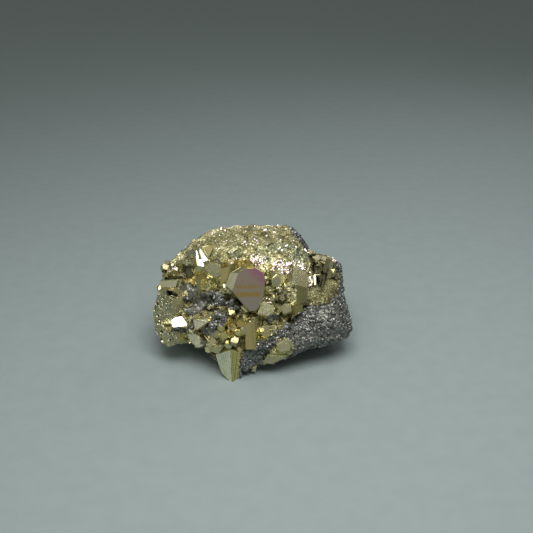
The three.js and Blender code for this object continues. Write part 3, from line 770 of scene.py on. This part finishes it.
def growth_step(points, rows, normal, hub, share, height):
    """A thin plate of the facet's own outline, smaller and a little proud of it."""
    used, local = np.unique(rows, return_inverse=True)
    local = local.reshape(rows.shape)
    away = points[used] - hub
    top = hub + away * share + normal * height
    base = hub + away * (share + 0.02) - normal * BURIED
    count = len(used)
    rim = rim_edges(local)
    walls = [np.stack([rim[:, 0], rim[:, 0] + count, rim[:, 1] + count], axis=1),
             np.stack([rim[:, 0], rim[:, 1] + count, rim[:, 1]], axis=1)]
    return np.vstack([top, base]), np.vstack([local, local[:, ::-1] + count, *walls])


def striation_bars(points, rows, normal, turn, pitch):
    """Low parallel ridges across a facet, each one ending inside the facet's outline."""
    right, top = facet_axes(normal)
    along = right * math.cos(math.radians(turn)) + top * math.sin(math.radians(turn))
    side = np.cross(normal, along)
    level = points[rows[0, 0]] @ normal
    ends = points[rim_edges(rows)]
    s, t = ends @ side, ends @ along
    bars = []
    place = s.min() + 0.3 * pitch
    while place < s.max():
        crossed = (s[:, 0] > place) != (s[:, 1] > place)
        share = (place - s[crossed, 0]) / (s[crossed, 1] - s[crossed, 0])
        cuts = np.sort(t[crossed, 0] + share * (t[crossed, 1] - t[crossed, 0]))
        for start, stop in zip(cuts[0::2], cuts[1::2]):
            trim = (0.12 + 0.25 * random.random(2)) * pitch
            start, stop = start + trim[0], stop - trim[1]
            width = pitch * (0.25 + 0.3 * random.random())
            height = STRIATION_HEIGHT * (0.5 + random.random())
            if stop - start > 1.2 * MM:
                bars.append((start, stop, place, width, height))
        place += pitch * (0.6 + 0.8 * random.random())
    corners = []
    for start, stop, place, width, height in bars:
        for x, y, z in CUBE_CORNERS * 2:
            inset = 0.35 * width if z > 0 else 0.0
            reach = start + inset if x < 0 else stop - inset
            sideways = place + y * (width / 2 - inset / 2)
            lift = height if z > 0 else -BURIED
            corners.append(along * reach + side * sideways + normal * (level + lift))
    shift = np.arange(len(bars))[:, None, None] * 8
    triangles = (cube_shape()[1][None] + shift).reshape(-1, 3)
    return np.array(corners).reshape(-1, 3), triangles


def splitting_ridge(points, rows, normal, start, stop, width):
    """A low ridge across a facet, between two places on the display side."""
    level = points[rows[0, 0]] @ normal
    ends = np.array([on_face(*start), on_face(*stop)])
    ends += ((level - ends @ normal) / (OUT @ normal))[:, None] * OUT
    along = ends[1] - ends[0]
    length = np.linalg.norm(along)
    along /= length
    axes = np.stack([along, np.cross(normal, along), normal], axis=1)
    corners, faces, _ = ridge_shape()
    return (corners * [length, width, 0.35 * width]) @ axes.T + ends.mean(axis=0), faces


def facet_relief(points, triangles, patch, facet):
    """Growth steps, striations and one splitting ridge that stand on the crystal facets.

    Gives their points and triangles, the facet that each triangle takes its looks from, and its
    shade.
    """
    middle, normal = patch_middles(points, triangles, patch)
    _, areas = normals_areas(points, triangles)
    patch_area = np.bincount(patch, areas)

    def number_at(place):
        return patch_at(points, triangles, patch, place)

    def face(number):
        return triangles[patch == number], normal[number] / np.linalg.norm(normal[number])

    meshes = []
    shades = []

    def keep(mesh, number, shade):
        count = len(mesh[1])
        meshes.append((*mesh, np.full(count, number)))
        shades.append(np.full(count, shade))

    plain = {number_at(place) for place in (*MIRROR_FACETS, TARNISHED_FACET)}
    for place, (turn, pitch, shade) in STRIATED_FACETS.items():
        number = number_at(place)
        plain.add(number)
        bars = striation_bars(points, *face(number), turn, pitch * MM)
        keep(bars, number, np.repeat(shade * random.random(len(bars[0]) // 8), 12))
    ridge = splitting_ridge(
        points, *face(number_at(MIRROR_RIDGE["on"])), MIRROR_RIDGE["start"], MIRROR_RIDGE["stop"],
        MIRROR_RIDGE["width"] * MM)
    keep(ridge, number_at(MIRROR_RIDGE["like"]), 0.0)
    for number in np.flatnonzero(facet & (patch_area > STEPPED_FACET)):
        if number in plain:
            continue
        rows, normal_way = face(number)
        corner = points[rows[random.integers(len(rows)), 0]]
        for share, height in ((0.86, 0.09), (0.55, 0.16)):
            hub = middle[number] + (corner - middle[number]) * (0.5 * random.random())
            size = share * (0.85 + 0.2 * random.random())
            plate = growth_step(points, rows, normal_way, hub, size, height * MM)
            keep(plate, number, 0.1 * random.random())
    return *join(*meshes), np.concatenate(shades)


# ---------------- the main surface
Surface = namedtuple("Surface", "points triangles guides rough pitted looks")


def patch_looks(points, triangles, patch, count):
    """The tint and stains of each flat patch, with painted shade on those in the shade ovals."""
    looks = {key: np.zeros(count) for key in ("gold", "green", "dark", "mirror")}
    looks["tint"] = 0.3 + 0.5 * random.random(count)
    across, up, out = display(patch_middles(points, triangles, patch)[0])
    looks["gold"] = shown_share(GOLD_OVALS, across, up, out) * random.random(count)
    dim = 0.45 * shown_share(DIM_OVALS, across, up, out)
    # Facets in the shade ovals get painted shade.
    looks["dark"] = np.maximum(dim, 0.7 * oval_share(SHADE_OVALS, across, up))
    for place, look in FACET_LOOKS.items():
        number = patch_at(points, triangles, patch, place)
        for key in ("tint", "gold", "green", "dark"):
            looks[key][number] = look.get(key, 0.0)
    for place in MIRROR_FACETS:
        looks["mirror"][patch_at(points, triangles, patch, place)] = 1.0
    return looks


def choose_facets(points, triangles, patch, facet):
    """Which patches stay flat crystal faces, and which of those are pitted."""
    across, up, out = display(patch_middles(points, triangles, patch)[0])
    facet = facet & ~buried_facets(points, triangles, patch)
    facet &= ~(inside_outline(SHOULDER, across, up) & (out > 0))
    pitted = np.zeros(len(facet), bool)
    for place in PITTED_FACETS:
        pitted[patch_at(points, triangles, patch, place)] = True
    for place in CRUMPLED_FACETS:
        facet[patch_at(points, triangles, patch, place)] = False
    return facet, pitted & facet


def corner_points(count, triangles):
    """Which points are corners of the triangles."""
    touched = np.zeros(count, bool)
    touched[triangles.reshape(-1)] = True
    return touched


def even_out(points, edges, loose):
    """The points with the loose ones evened out, and how far each one may move after that."""
    for _ in range(10):
        moved = neighbour_mean(points, edges)
        points[loose] = points[loose] * 0.4 + moved[loose] * 0.6
    strength = loose.astype(float)[:, None]
    for _ in range(3):
        strength = neighbour_mean(strength, edges) * loose[:, None]
    return points, np.clip(strength[:, 0] * 1.6, 0, 1)


def chip_height(points):
    """Height of the broken brass: tilted chips of two sizes, lower on the crown and shoulder."""
    across, up, out = display(points)
    calm = np.where((up > CALM_FOOT) & (out > 0), 0.6, 0.9)
    calm[inside_outline(SHOULDER, across, up) & (out > 0)] = 0.3
    twisted = warp(points, 4 * MM, 1.2 * MM, 31)
    height = calm * chip_noise(twisted, 3.1 * MM, 0.40, 0.10, 101)
    return height + calm * chip_noise(twisted, CHIP, 0.50, 0.14, CHIP_SALT)


def lump_height(points):
    """Height of the grey crust that the grains sit on."""
    lumps = value_noise(points, 3 * MM, 41) * 0.5 * MM
    return lumps + grain_noise(points, 1.5 * MM, 43) * 0.5 * MM


def contact_line(points, grey, edges):
    """Where grey and brass meet on the display side, from 0 to 1, for a groove with painted shade
    along it.
    """
    share = neighbour_mean(grey.astype(float)[:, None], edges, 2)[:, 0]
    return np.clip(1.3 - np.abs(2 * share - 1) * 1.8, 0, 1) * (display(points)[2] > 0)


def surface_looks(points, triangles, rough, tarnished, of_patch, pits, creased, contact):
    """Looks of each triangle: those of its facet, or those of its place where it is rough."""
    middles = points[triangles].mean(axis=1)
    normals, _ = normals_areas(points, triangles)
    across, up, out = display(middles)
    front = rough & (normals @ OUT > -0.2)
    chip_tint = lattice_hash(nearest_seeds(middles, CHIP, CHIP_SALT)[0], 5)
    looks = {}
    # The "dark" look of rough parts here is painted shade in the shade ovals.
    for key, ovals, most in (("gold", GOLD_OVALS, 0.7), ("green", GREEN_OVALS, 0.6),
                             ("dark", SHADE_OVALS, 1.0)):
        looks[key] = np.where(rough, oval_share(ovals, across, up) * front * most, of_patch[key])
    shoulder = front & inside_outline(SHOULDER, across, up)
    looks["tint"] = np.where(rough, chip_tint, of_patch["tint"])
    looks["tint"] = np.where(shoulder, 0.15 + 0.3 * chip_tint, looks["tint"])
    looks["mirror"] = of_patch["mirror"]
    looks["grey"] = (grey_area(middles, normals) & rough).astype(float)
    looks["uneven"] = rough.astype(float)
    looks["tarnish"] = tarnished.astype(float)
    # Painted shade in the cavity, the pits, the creases, along the line where grey meets brass and
    # on the crown's rim; the shoulder is only made darker.
    for amount in (0.75 * (front & inside_outline(CAVITY, across, up)),
                   0.4 * shoulder,
                   np.clip(1.6 * pits[triangles].mean(axis=1), 0, 1),
                   0.85 * rough * creased[triangles].mean(axis=1),
                   0.8 * rough * contact[triangles].mean(axis=1),
                   rough * crown_shade(across, up, out)):
        looks["dark"] = np.maximum(looks["dark"], amount)
    return looks


def build_mass():
    """The CAD surface with its facets kept flat and the rough parts broken into chips.

    Gives the surface, and the points, triangles and looks of the relief on its facets.
    """
    points, triangles = cad_triangles()
    patch, facet = find_patches(points, triangles)
    tarnished = patch_at(points, triangles, patch, TARNISHED_FACET)
    of_patch = patch_looks(points, triangles, patch, len(facet))
    facet, pitted = choose_facets(points, triangles, patch, facet)
    *relief, owner, shade = facet_relief(points, triangles, patch, facet & ~pitted)
    relief_looks = {key: values[owner] for key, values in of_patch.items()}
    relief_looks["dark"] = np.maximum(relief_looks["dark"], shade)

    points, triangles, patch = refine(points, triangles, patch, ~facet | pitted)
    rough, in_pitted = ~facet[patch], pitted[patch]
    edges, _ = edge_table(triangles)
    points, strength = even_out(points, edges, ~corner_points(len(points), triangles[~rough]))
    normals = point_normals(points, triangles)
    grey = grey_area(points, normals)
    contact = contact_line(points, grey, edges)
    brass_height = np.maximum(chip_height(points), -0.9 * MM)
    height = np.where(grey, lump_height(points), brass_height) - SINK - 0.5 * MM * contact

    inner = corner_points(len(points), triangles[in_pitted])
    inner &= ~corner_points(len(points), triangles[~in_pitted])
    pits = np.maximum(pit_noise(points, 2.6 * MM, 0.3, 71), pit_noise(points, 1.4 * MM, 0.55, 79))
    ripple = chip_noise(points, 2.4 * MM, 0.12, 0.04, 83)
    lift = strength * height + inner * (ripple - 0.7 * MM * pits)
    points = keep_above_floor(points + normals * lift[:, None])
    level = neighbour_mean(points, edges, LEVEL_ROUNDS)
    # Painted shade in creases: how far each point lies below the smoothed surface.
    creased = np.clip(((level - points) * normals).sum(axis=1) / CREASE, 0, 1)
    guides, _ = normals_areas(level, triangles)
    looks = surface_looks(
        points, triangles, rough, patch == tarnished,
        {key: values[patch] for key, values in of_patch.items()}, inner * pits, creased, contact)
    return Surface(points, triangles, guides, rough, in_pitted, looks), (*relief, relief_looks)


# ---------------- small crystals
CUBE_CORNERS = np.array([[x, y, z] for x in (-1, 1) for y in (-1, 1) for z in (-1, 1)]) / 2
CUBE_SIDES = [(0, 1, 3, 2), (4, 6, 7, 5), (0, 4, 5, 1), (2, 3, 7, 6), (0, 2, 6, 4), (1, 5, 7, 3)]


def cube_shape():
    """Corners, triangles, and the number of the flat side that each triangle is part of."""
    triangles = [(s[i], s[j], s[k]) for s in CUBE_SIDES for i, j, k in ((0, 1, 2), (0, 2, 3))]
    return CUBE_CORNERS, np.array(triangles), np.repeat(np.arange(6), 2)


def ridge_shape():
    """A long low ridge with two sloping sides."""
    corners = np.array([[x, y, z] for x in (-0.5, 0.5)
                        for y, z in ((-0.5, -0.5), (0.5, -0.5), (0.0, 0.5))])
    triangles = np.array([(0, 2, 1), (3, 4, 5), (0, 1, 4), (0, 4, 3), (0, 3, 5), (0, 5, 2),
                          (1, 2, 5), (1, 5, 4)])
    return corners, triangles, np.array([0, 1, 2, 2, 3, 3, 4, 4])


def octahedron_shape():
    corners = np.array([[1, 0, 0], [-1, 0, 0], [0, 1, 0], [0, -1, 0], [0, 0, 1], [0, 0, -1]]) * 0.7
    triangles = np.array([(0, 2, 4), (2, 1, 4), (1, 3, 4), (3, 0, 4),
                          (2, 0, 5), (1, 2, 5), (3, 1, 5), (0, 3, 5)])
    return corners, triangles, np.arange(8)


def grain_shape():
    """A twenty-sided grain."""
    g = (1 + math.sqrt(5)) / 2
    corners = []
    for a in (-1, 1):
        for b in (-g, g):
            corners += [(0, a, b), (a, b, 0), (b, 0, a)]
    corners = np.array(corners, float) / (2 * math.hypot(1, g))
    nearest = min(np.linalg.norm(corners[0] - corner) for corner in corners[1:])
    close = np.linalg.norm(corners[:, None] - corners[None], axis=2) < nearest * 1.1
    triangles = []
    for i, j, k in combinations(range(12), 3):
        if close[i, j] and close[j, k] and close[i, k]:
            out = np.cross(corners[j] - corners[i], corners[k] - corners[i]) @ corners[i]
            triangles.append((i, j, k) if out > 0 else (i, k, j))
    return corners, np.array(triangles), np.arange(20)


def scatter(surface, weights, count):
    """Random places on a surface, and the way the smoothed surface faces there."""
    _, areas = normals_areas(surface.points, surface.triangles)
    chance = areas * weights
    chosen = random.choice(len(chance), count, p=chance / chance.sum())
    u, v = random.random((2, count, 1))
    flip = u + v > 1
    u, v = np.where(flip, 1 - u, u), np.where(flip, 1 - v, v)
    a, b, c = (surface.points[surface.triangles[chosen, i]] for i in range(3))
    return a + (b - a) * u + (c - a) * v, surface.guides[chosen]


def unit(vectors):
    return vectors / np.linalg.norm(vectors, axis=1)[:, None]


def standing_axes(normals, tilt, glint=None):
    """Three axes for each crystal, the third one near the surface normal or facing the lamp."""
    count = len(normals)
    third = normals + tilt * random.normal(size=(count, 3))
    if glint is not None:
        towards = GLINT_NORMAL + 0.10 * random.normal(size=(count, 3))
        third = np.where((random.random(count) < glint)[:, None], towards, third)
    third = unit(third)
    first = unit(np.cross(random.normal(size=(count, 3)), third))
    return np.stack([first, np.cross(third, first), third], axis=2)


def lying_axes(places, normals, tilt):
    """Three axes for each ridge, the first one along combs that bend over the surface."""
    third = unit(normals + tilt * random.normal(size=normals.shape))
    along = np.stack([value_noise(places, 7 * MM, salt) for salt in (131, 137, 139)], axis=1)
    along += 0.12 * random.normal(size=along.shape)
    second = unit(np.cross(third, along))
    return np.stack([np.cross(second, third), second, third], axis=2)


def joined_copies(shape, places, axes, sizes):
    """Turned and scaled copies of one small shape, with a tint for each flat side."""
    corners, triangles, sides = shape
    count = len(places)
    local = corners[None] * sizes[:, None, :]
    placed = np.einsum("nij,nkj->nki", axes, local) + places[:, None, :]
    shift = (np.arange(count) * len(corners))[:, None, None]
    tint = random.random((count, 1)) * 0.65 + random.random((count, sides.max() + 1)) * 0.25
    faces = (triangles[None] + shift).reshape(-1, 3)
    return placed.reshape(-1, 3), faces, tint[:, sides].reshape(-1)


def join(*meshes):
    """Several sets of points, triangles and tints as one."""
    points, triangles, tints = [], [], []
    total = 0
    for mesh_points, mesh_triangles, mesh_tint in meshes:
        points.append(mesh_points)
        triangles.append(mesh_triangles + total)
        tints.append(mesh_tint)
        total += len(mesh_points)
    return np.vstack(points), np.vstack(triangles), np.concatenate(tints)


def keep_above_floor(points):
    points[:, 2] = np.maximum(points[:, 2], LOW[2])
    return points


def druse_looks(points, triangles, tint, darkening):
    """Looks of small brassy crystals: a tint, the stains of the place each one is in, and painted
    shade in hollows and on the crown's rim.
    """
    across, up, out = display(points[triangles].mean(axis=1))
    hollows = 0.85 * shown_share(SHADE_OVALS, across, up, out)
    shade = np.maximum(crown_shade(across, up, out), hollows)
    return {
        "tint": tint,
        "dark": np.maximum(shade, darkening),
        "gold": 0.65 * shown_share(GOLD_OVALS, across, up, out),
        "green": 0.6 * shown_share(GREEN_OVALS, across, up, out),
    }


def crystal_sizes(count, middle, low, high):
    """Sizes of small crystals: most near the middle size, a few much bigger."""
    size = np.clip(middle * np.exp(0.38 * random.normal(size=count)), low, high)[:, None]
    return size * (0.55 + 0.75 * random.random((count, 3))) * MM


def build_druse(surface, weights, ridges, count, middle, biggest):
    """Combs of ridges with small brassy crystals between them, half buried in the surface."""
    places, normals = scatter(surface, weights, ridges)
    sizes = np.array([1.4, 0.5, 0.5]) + np.array([2.6, 0.8, 0.4]) * random.random((ridges, 3)) ** 2
    places = places - normals * (0.05 + 0.25 * random.random((ridges, 1))) * middle * MM
    meshes = [joined_copies(ridge_shape(), places, lying_axes(places, normals, 0.12),
                            sizes * middle * MM)]
    for shape, share in ((cube_shape(), 0.55), (octahedron_shape(), 0.45)):
        number = int(count * share)
        places, normals = scatter(surface, weights, number)
        glint = 0.3 * shown_share(GLINT_OVALS, *display(places))
        sizes = crystal_sizes(number, middle, 0.5 * middle, biggest)
        places = places - normals * sizes[:, 2:] * (0.35 + 0.3 * random.random((number, 1)))
        meshes.append(joined_copies(shape, places, standing_axes(normals, 0.5, glint), sizes))
    return join(*meshes)


def build_glints(surface, weights, count):
    """Small flat crystals with polished faces turned to the lamp."""
    places, normals = scatter(surface, weights, count)
    axes = standing_axes(np.tile(GLINT_NORMAL, (count, 1)), 0.06)
    sizes = np.array([0.3, 0.15, 0.35]) + np.array([1.1, 0.5, 0]) * random.random((count, 3)) ** 3
    return joined_copies(cube_shape(), places + normals * 0.1 * MM, axes, sizes * MM)


def build_grains(surface, weights, count, middle):
    """Grey grains heaped in an uneven crust."""
    places, normals = scatter(surface, weights, count)
    sizes = crystal_sizes(count, middle, 0.4, 1.7) * 1.15
    heap = 0.25 * MM * value_noise(places, 2.4 * MM, 91)[:, None]
    places = places + normals * (heap - sizes[:, 2:] * 0.15 * random.random((count, 1)))
    return joined_copies(grain_shape(), places, standing_axes(normals, 3.0), sizes)


# ---------------- assembly
# Brassy crystals: ridges, crystals between them, middle and biggest size in millimetres,
# darkening.
DRUSES = {
    "druse_crown": (6500, 500, 0.55, 1.1, 0.2),
    "druse_middle": (3600, 600, 0.65, 1.6, 0.0),
    "druse_back": (6500, 4000, 0.95, 2.6, 0.0),
    "grit": (160, 200, 0.38, 0.7, 0.42),
    "shoulder_ribs": (900, 60, 0.45, 0.8, 0.4),
}
GLINT_COUNT = 340
# Grey grains: how many, and their middle size in millimetres.
CRUSTS = {"sulphide_front": (9000, 0.7), "sulphide_back": (5500, 0.95)}


def add_druses(surface, areas):
    brass = pyrite_material("pyrite_druse", BRASS_STOPS, (0.42, 0.62), 1.6, 0.3)
    for name, (*counts_and_sizes, darkening) in DRUSES.items():
        points, triangles, tint = build_druse(
            surface, areas[name].astype(float), *counts_and_sizes)
        looks = druse_looks(keep_above_floor(points), triangles, tint, darkening)
        add_piece(name, points, triangles, brass, looks)


def add_glints(surface, weights):
    polished = pyrite_material("pyrite_glints", GLINT_STOPS, (0.05, 0.2), 1.6, 0.1)
    points, triangles, tint = build_glints(surface, weights, GLINT_COUNT)
    add_piece("glints", points, triangles, polished, {"tint": tint})


def add_crusts(surface, weights):
    sulphide = sulphide_material()
    for name, (count, middle) in CRUSTS.items():
        points, triangles, tint = build_grains(surface, weights[name], count, middle)
        # Painted shade on the grains in the shade ovals.
        hollows = shown_share(SHADE_OVALS, *display(points[triangles].mean(axis=1)))
        tint = tint * (1 - 0.7 * hollows)
        add_piece(name, keep_above_floor(points), triangles, sulphide, {"tint": tint})


def add_specimen():
    brass = pyrite_material("pyrite", BRASS_STOPS, (0.2, 0.32), 1.1, 0.4)
    surface, (points, triangles, looks) = build_mass()
    mass = add_piece(
        "pyrite_group", surface.points, surface.triangles, brass, surface.looks)
    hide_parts(NODE)
    add_piece("facet_relief", keep_above_floor(points), triangles, brass, looks)

    middles = surface.points[surface.triangles].mean(axis=1)
    across, up, out = display(middles)
    front = out > 0
    dark, grey = surface.looks["dark"], surface.looks["grey"] > 0.5
    free = surface.rough & (dark < 0.5) & (middles[:, 2] > LOW[2] + CLEAR_OF_FLOOR)
    shoulder = inside_outline(SHOULDER, across, up)
    hollow = shoulder | inside_outline(CAVITY, across, up)
    brassy = free & ~grey & ~(front & hollow)
    add_druses(surface, {
        "druse_crown": brassy & front & (up > CROWN_FOOT),
        "druse_middle": brassy & front & (up <= CROWN_FOOT),
        "druse_back": brassy & ~front,
        "grit": surface.pitted & (dark < 0.3),
        "shoulder_ribs": free & ~grey & front & shoulder,
    })
    glints = (oval_share(GLINT_OVALS, across, up) + 0.04 * (up > GLINT_FOOT)) * (brassy & front)
    add_glints(surface, glints + 0.7 * oval_share(BRIGHT_RIDGES, across, up) * front)

    smooth_crust = np.where((across < SMOOTH_FROM[0]) & (up > SMOOTH_FROM[1]), 0.25, 1.0)
    in_vein = inside_outline(GREY_OUTLINES["vein"], across, up)
    grains = smooth_crust * (free & grey & front) * np.where(in_vein, 2.2, 1.0)
    add_crusts(surface, {
        "sulphide_front": grains + 2.0 * (in_vein & ~surface.rough & front),
        "sulphide_back": (free & grey & ~front).astype(float),
    })


# ---------------- floor, light and camera
FLOOR_WIDTHS = 60
# Square lamps: where each one is from the middle of the specimen, side, radiance and colour.
LAMPS = {
    "key": (KEY_WAY * KEY_DISTANCE, 0.17, 2.7, (1.0, 0.95, 1.0)),
    "overhead": ((0.03, -0.10, 0.33), 0.24, 6.2, (1.0, 1.0, 0.98)),
    "rim": ((0.24, 0.25, 0.26), 0.12, 3.6, (1.0, 0.97, 1.0)),
}
# Where the camera is and what it looks at: across, up and out from the display side.
CAMERA_PLACE = (0.0, 20.8, 311.2)
CAMERA_AIM = (6.0, 29.2, -0.8)


def turn_to(thing, place, aim):
    thing.location = place
    thing.rotation_euler = (Vector(aim) - Vector(place)).to_track_quat("-Z", "Y").to_euler()
    bpy.context.scene.collection.objects.link(thing)


def make_floor():
    width = FLOOR_WIDTHS * (HIGH[0] - LOW[0])
    bpy.ops.mesh.primitive_plane_add(size=width, location=(0, 0, LOW[2]))
    floor = bpy.context.object
    floor.name = "floor"
    floor.data.materials.append(floor_material())


def make_world():
    """Soft light, darker to the right and high at the back, so that facets differ."""
    world = bpy.data.worlds.new("studio")
    bpy.context.scene.world = world
    net = Network(world)
    direction = net.add("TexCoord").outputs["Generated"]
    parts = net.add("SeparateXYZ")
    net.fill(parts.inputs["Vector"], direction)
    height = net.math("MAXIMUM", parts.outputs["Z"], 0.0)
    behind = net.math("MAXIMUM", parts.outputs["Y"], 0.0)
    shade = net.scale_add(net.noise(direction, 2.1, 1.0), 0.5, -0.03)
    shade = net.scale_add(parts.outputs["X"], 0.27, shade)
    shade = net.scale_add(behind, 0.5, shade)
    shade = net.math("MAXIMUM", net.math("MINIMUM", shade, 0.8), 0.0)
    shade = net.math("MULTIPLY", shade, net.ramp(height, [(0.03, 0.0), (0.2, 1.0)]))
    background = net.add("Background")
    sky = net.mix(shade, net.ramp(height, SKY_STOPS), SHADE_COLOUR)
    net.fill(background.inputs["Color"], sky)
    background.inputs["Strength"].default_value = 1.25
    net.links.new(background.outputs["Background"], net.add("OutputWorld").inputs["Surface"])


def make_lamps():
    """Lamps that look equally bright from everywhere they shine."""
    middle = (LOW + HIGH) / 2
    for name, (offset, size, radiance, colour) in LAMPS.items():
        data = bpy.data.lights.new(name, "AREA")
        data.shape = "SQUARE"
        data.size = size
        data.energy = radiance * math.pi * size * size
        data.color = colour
        turn_to(bpy.data.objects.new(name, data), middle + np.array(offset), middle)


def make_camera():
    data = bpy.data.cameras.new("camera")
    data.sensor_width = 36.0
    data.lens = 50.0
    camera = bpy.data.objects.new("camera", data)
    turn_to(camera, on_face(*CAMERA_PLACE), on_face(*CAMERA_AIM))
    bpy.context.scene.camera = camera


add_specimen()
make_floor()
make_world()
make_lamps()
make_camera()
bpy.context.scene.view_settings.view_transform = "Standard"
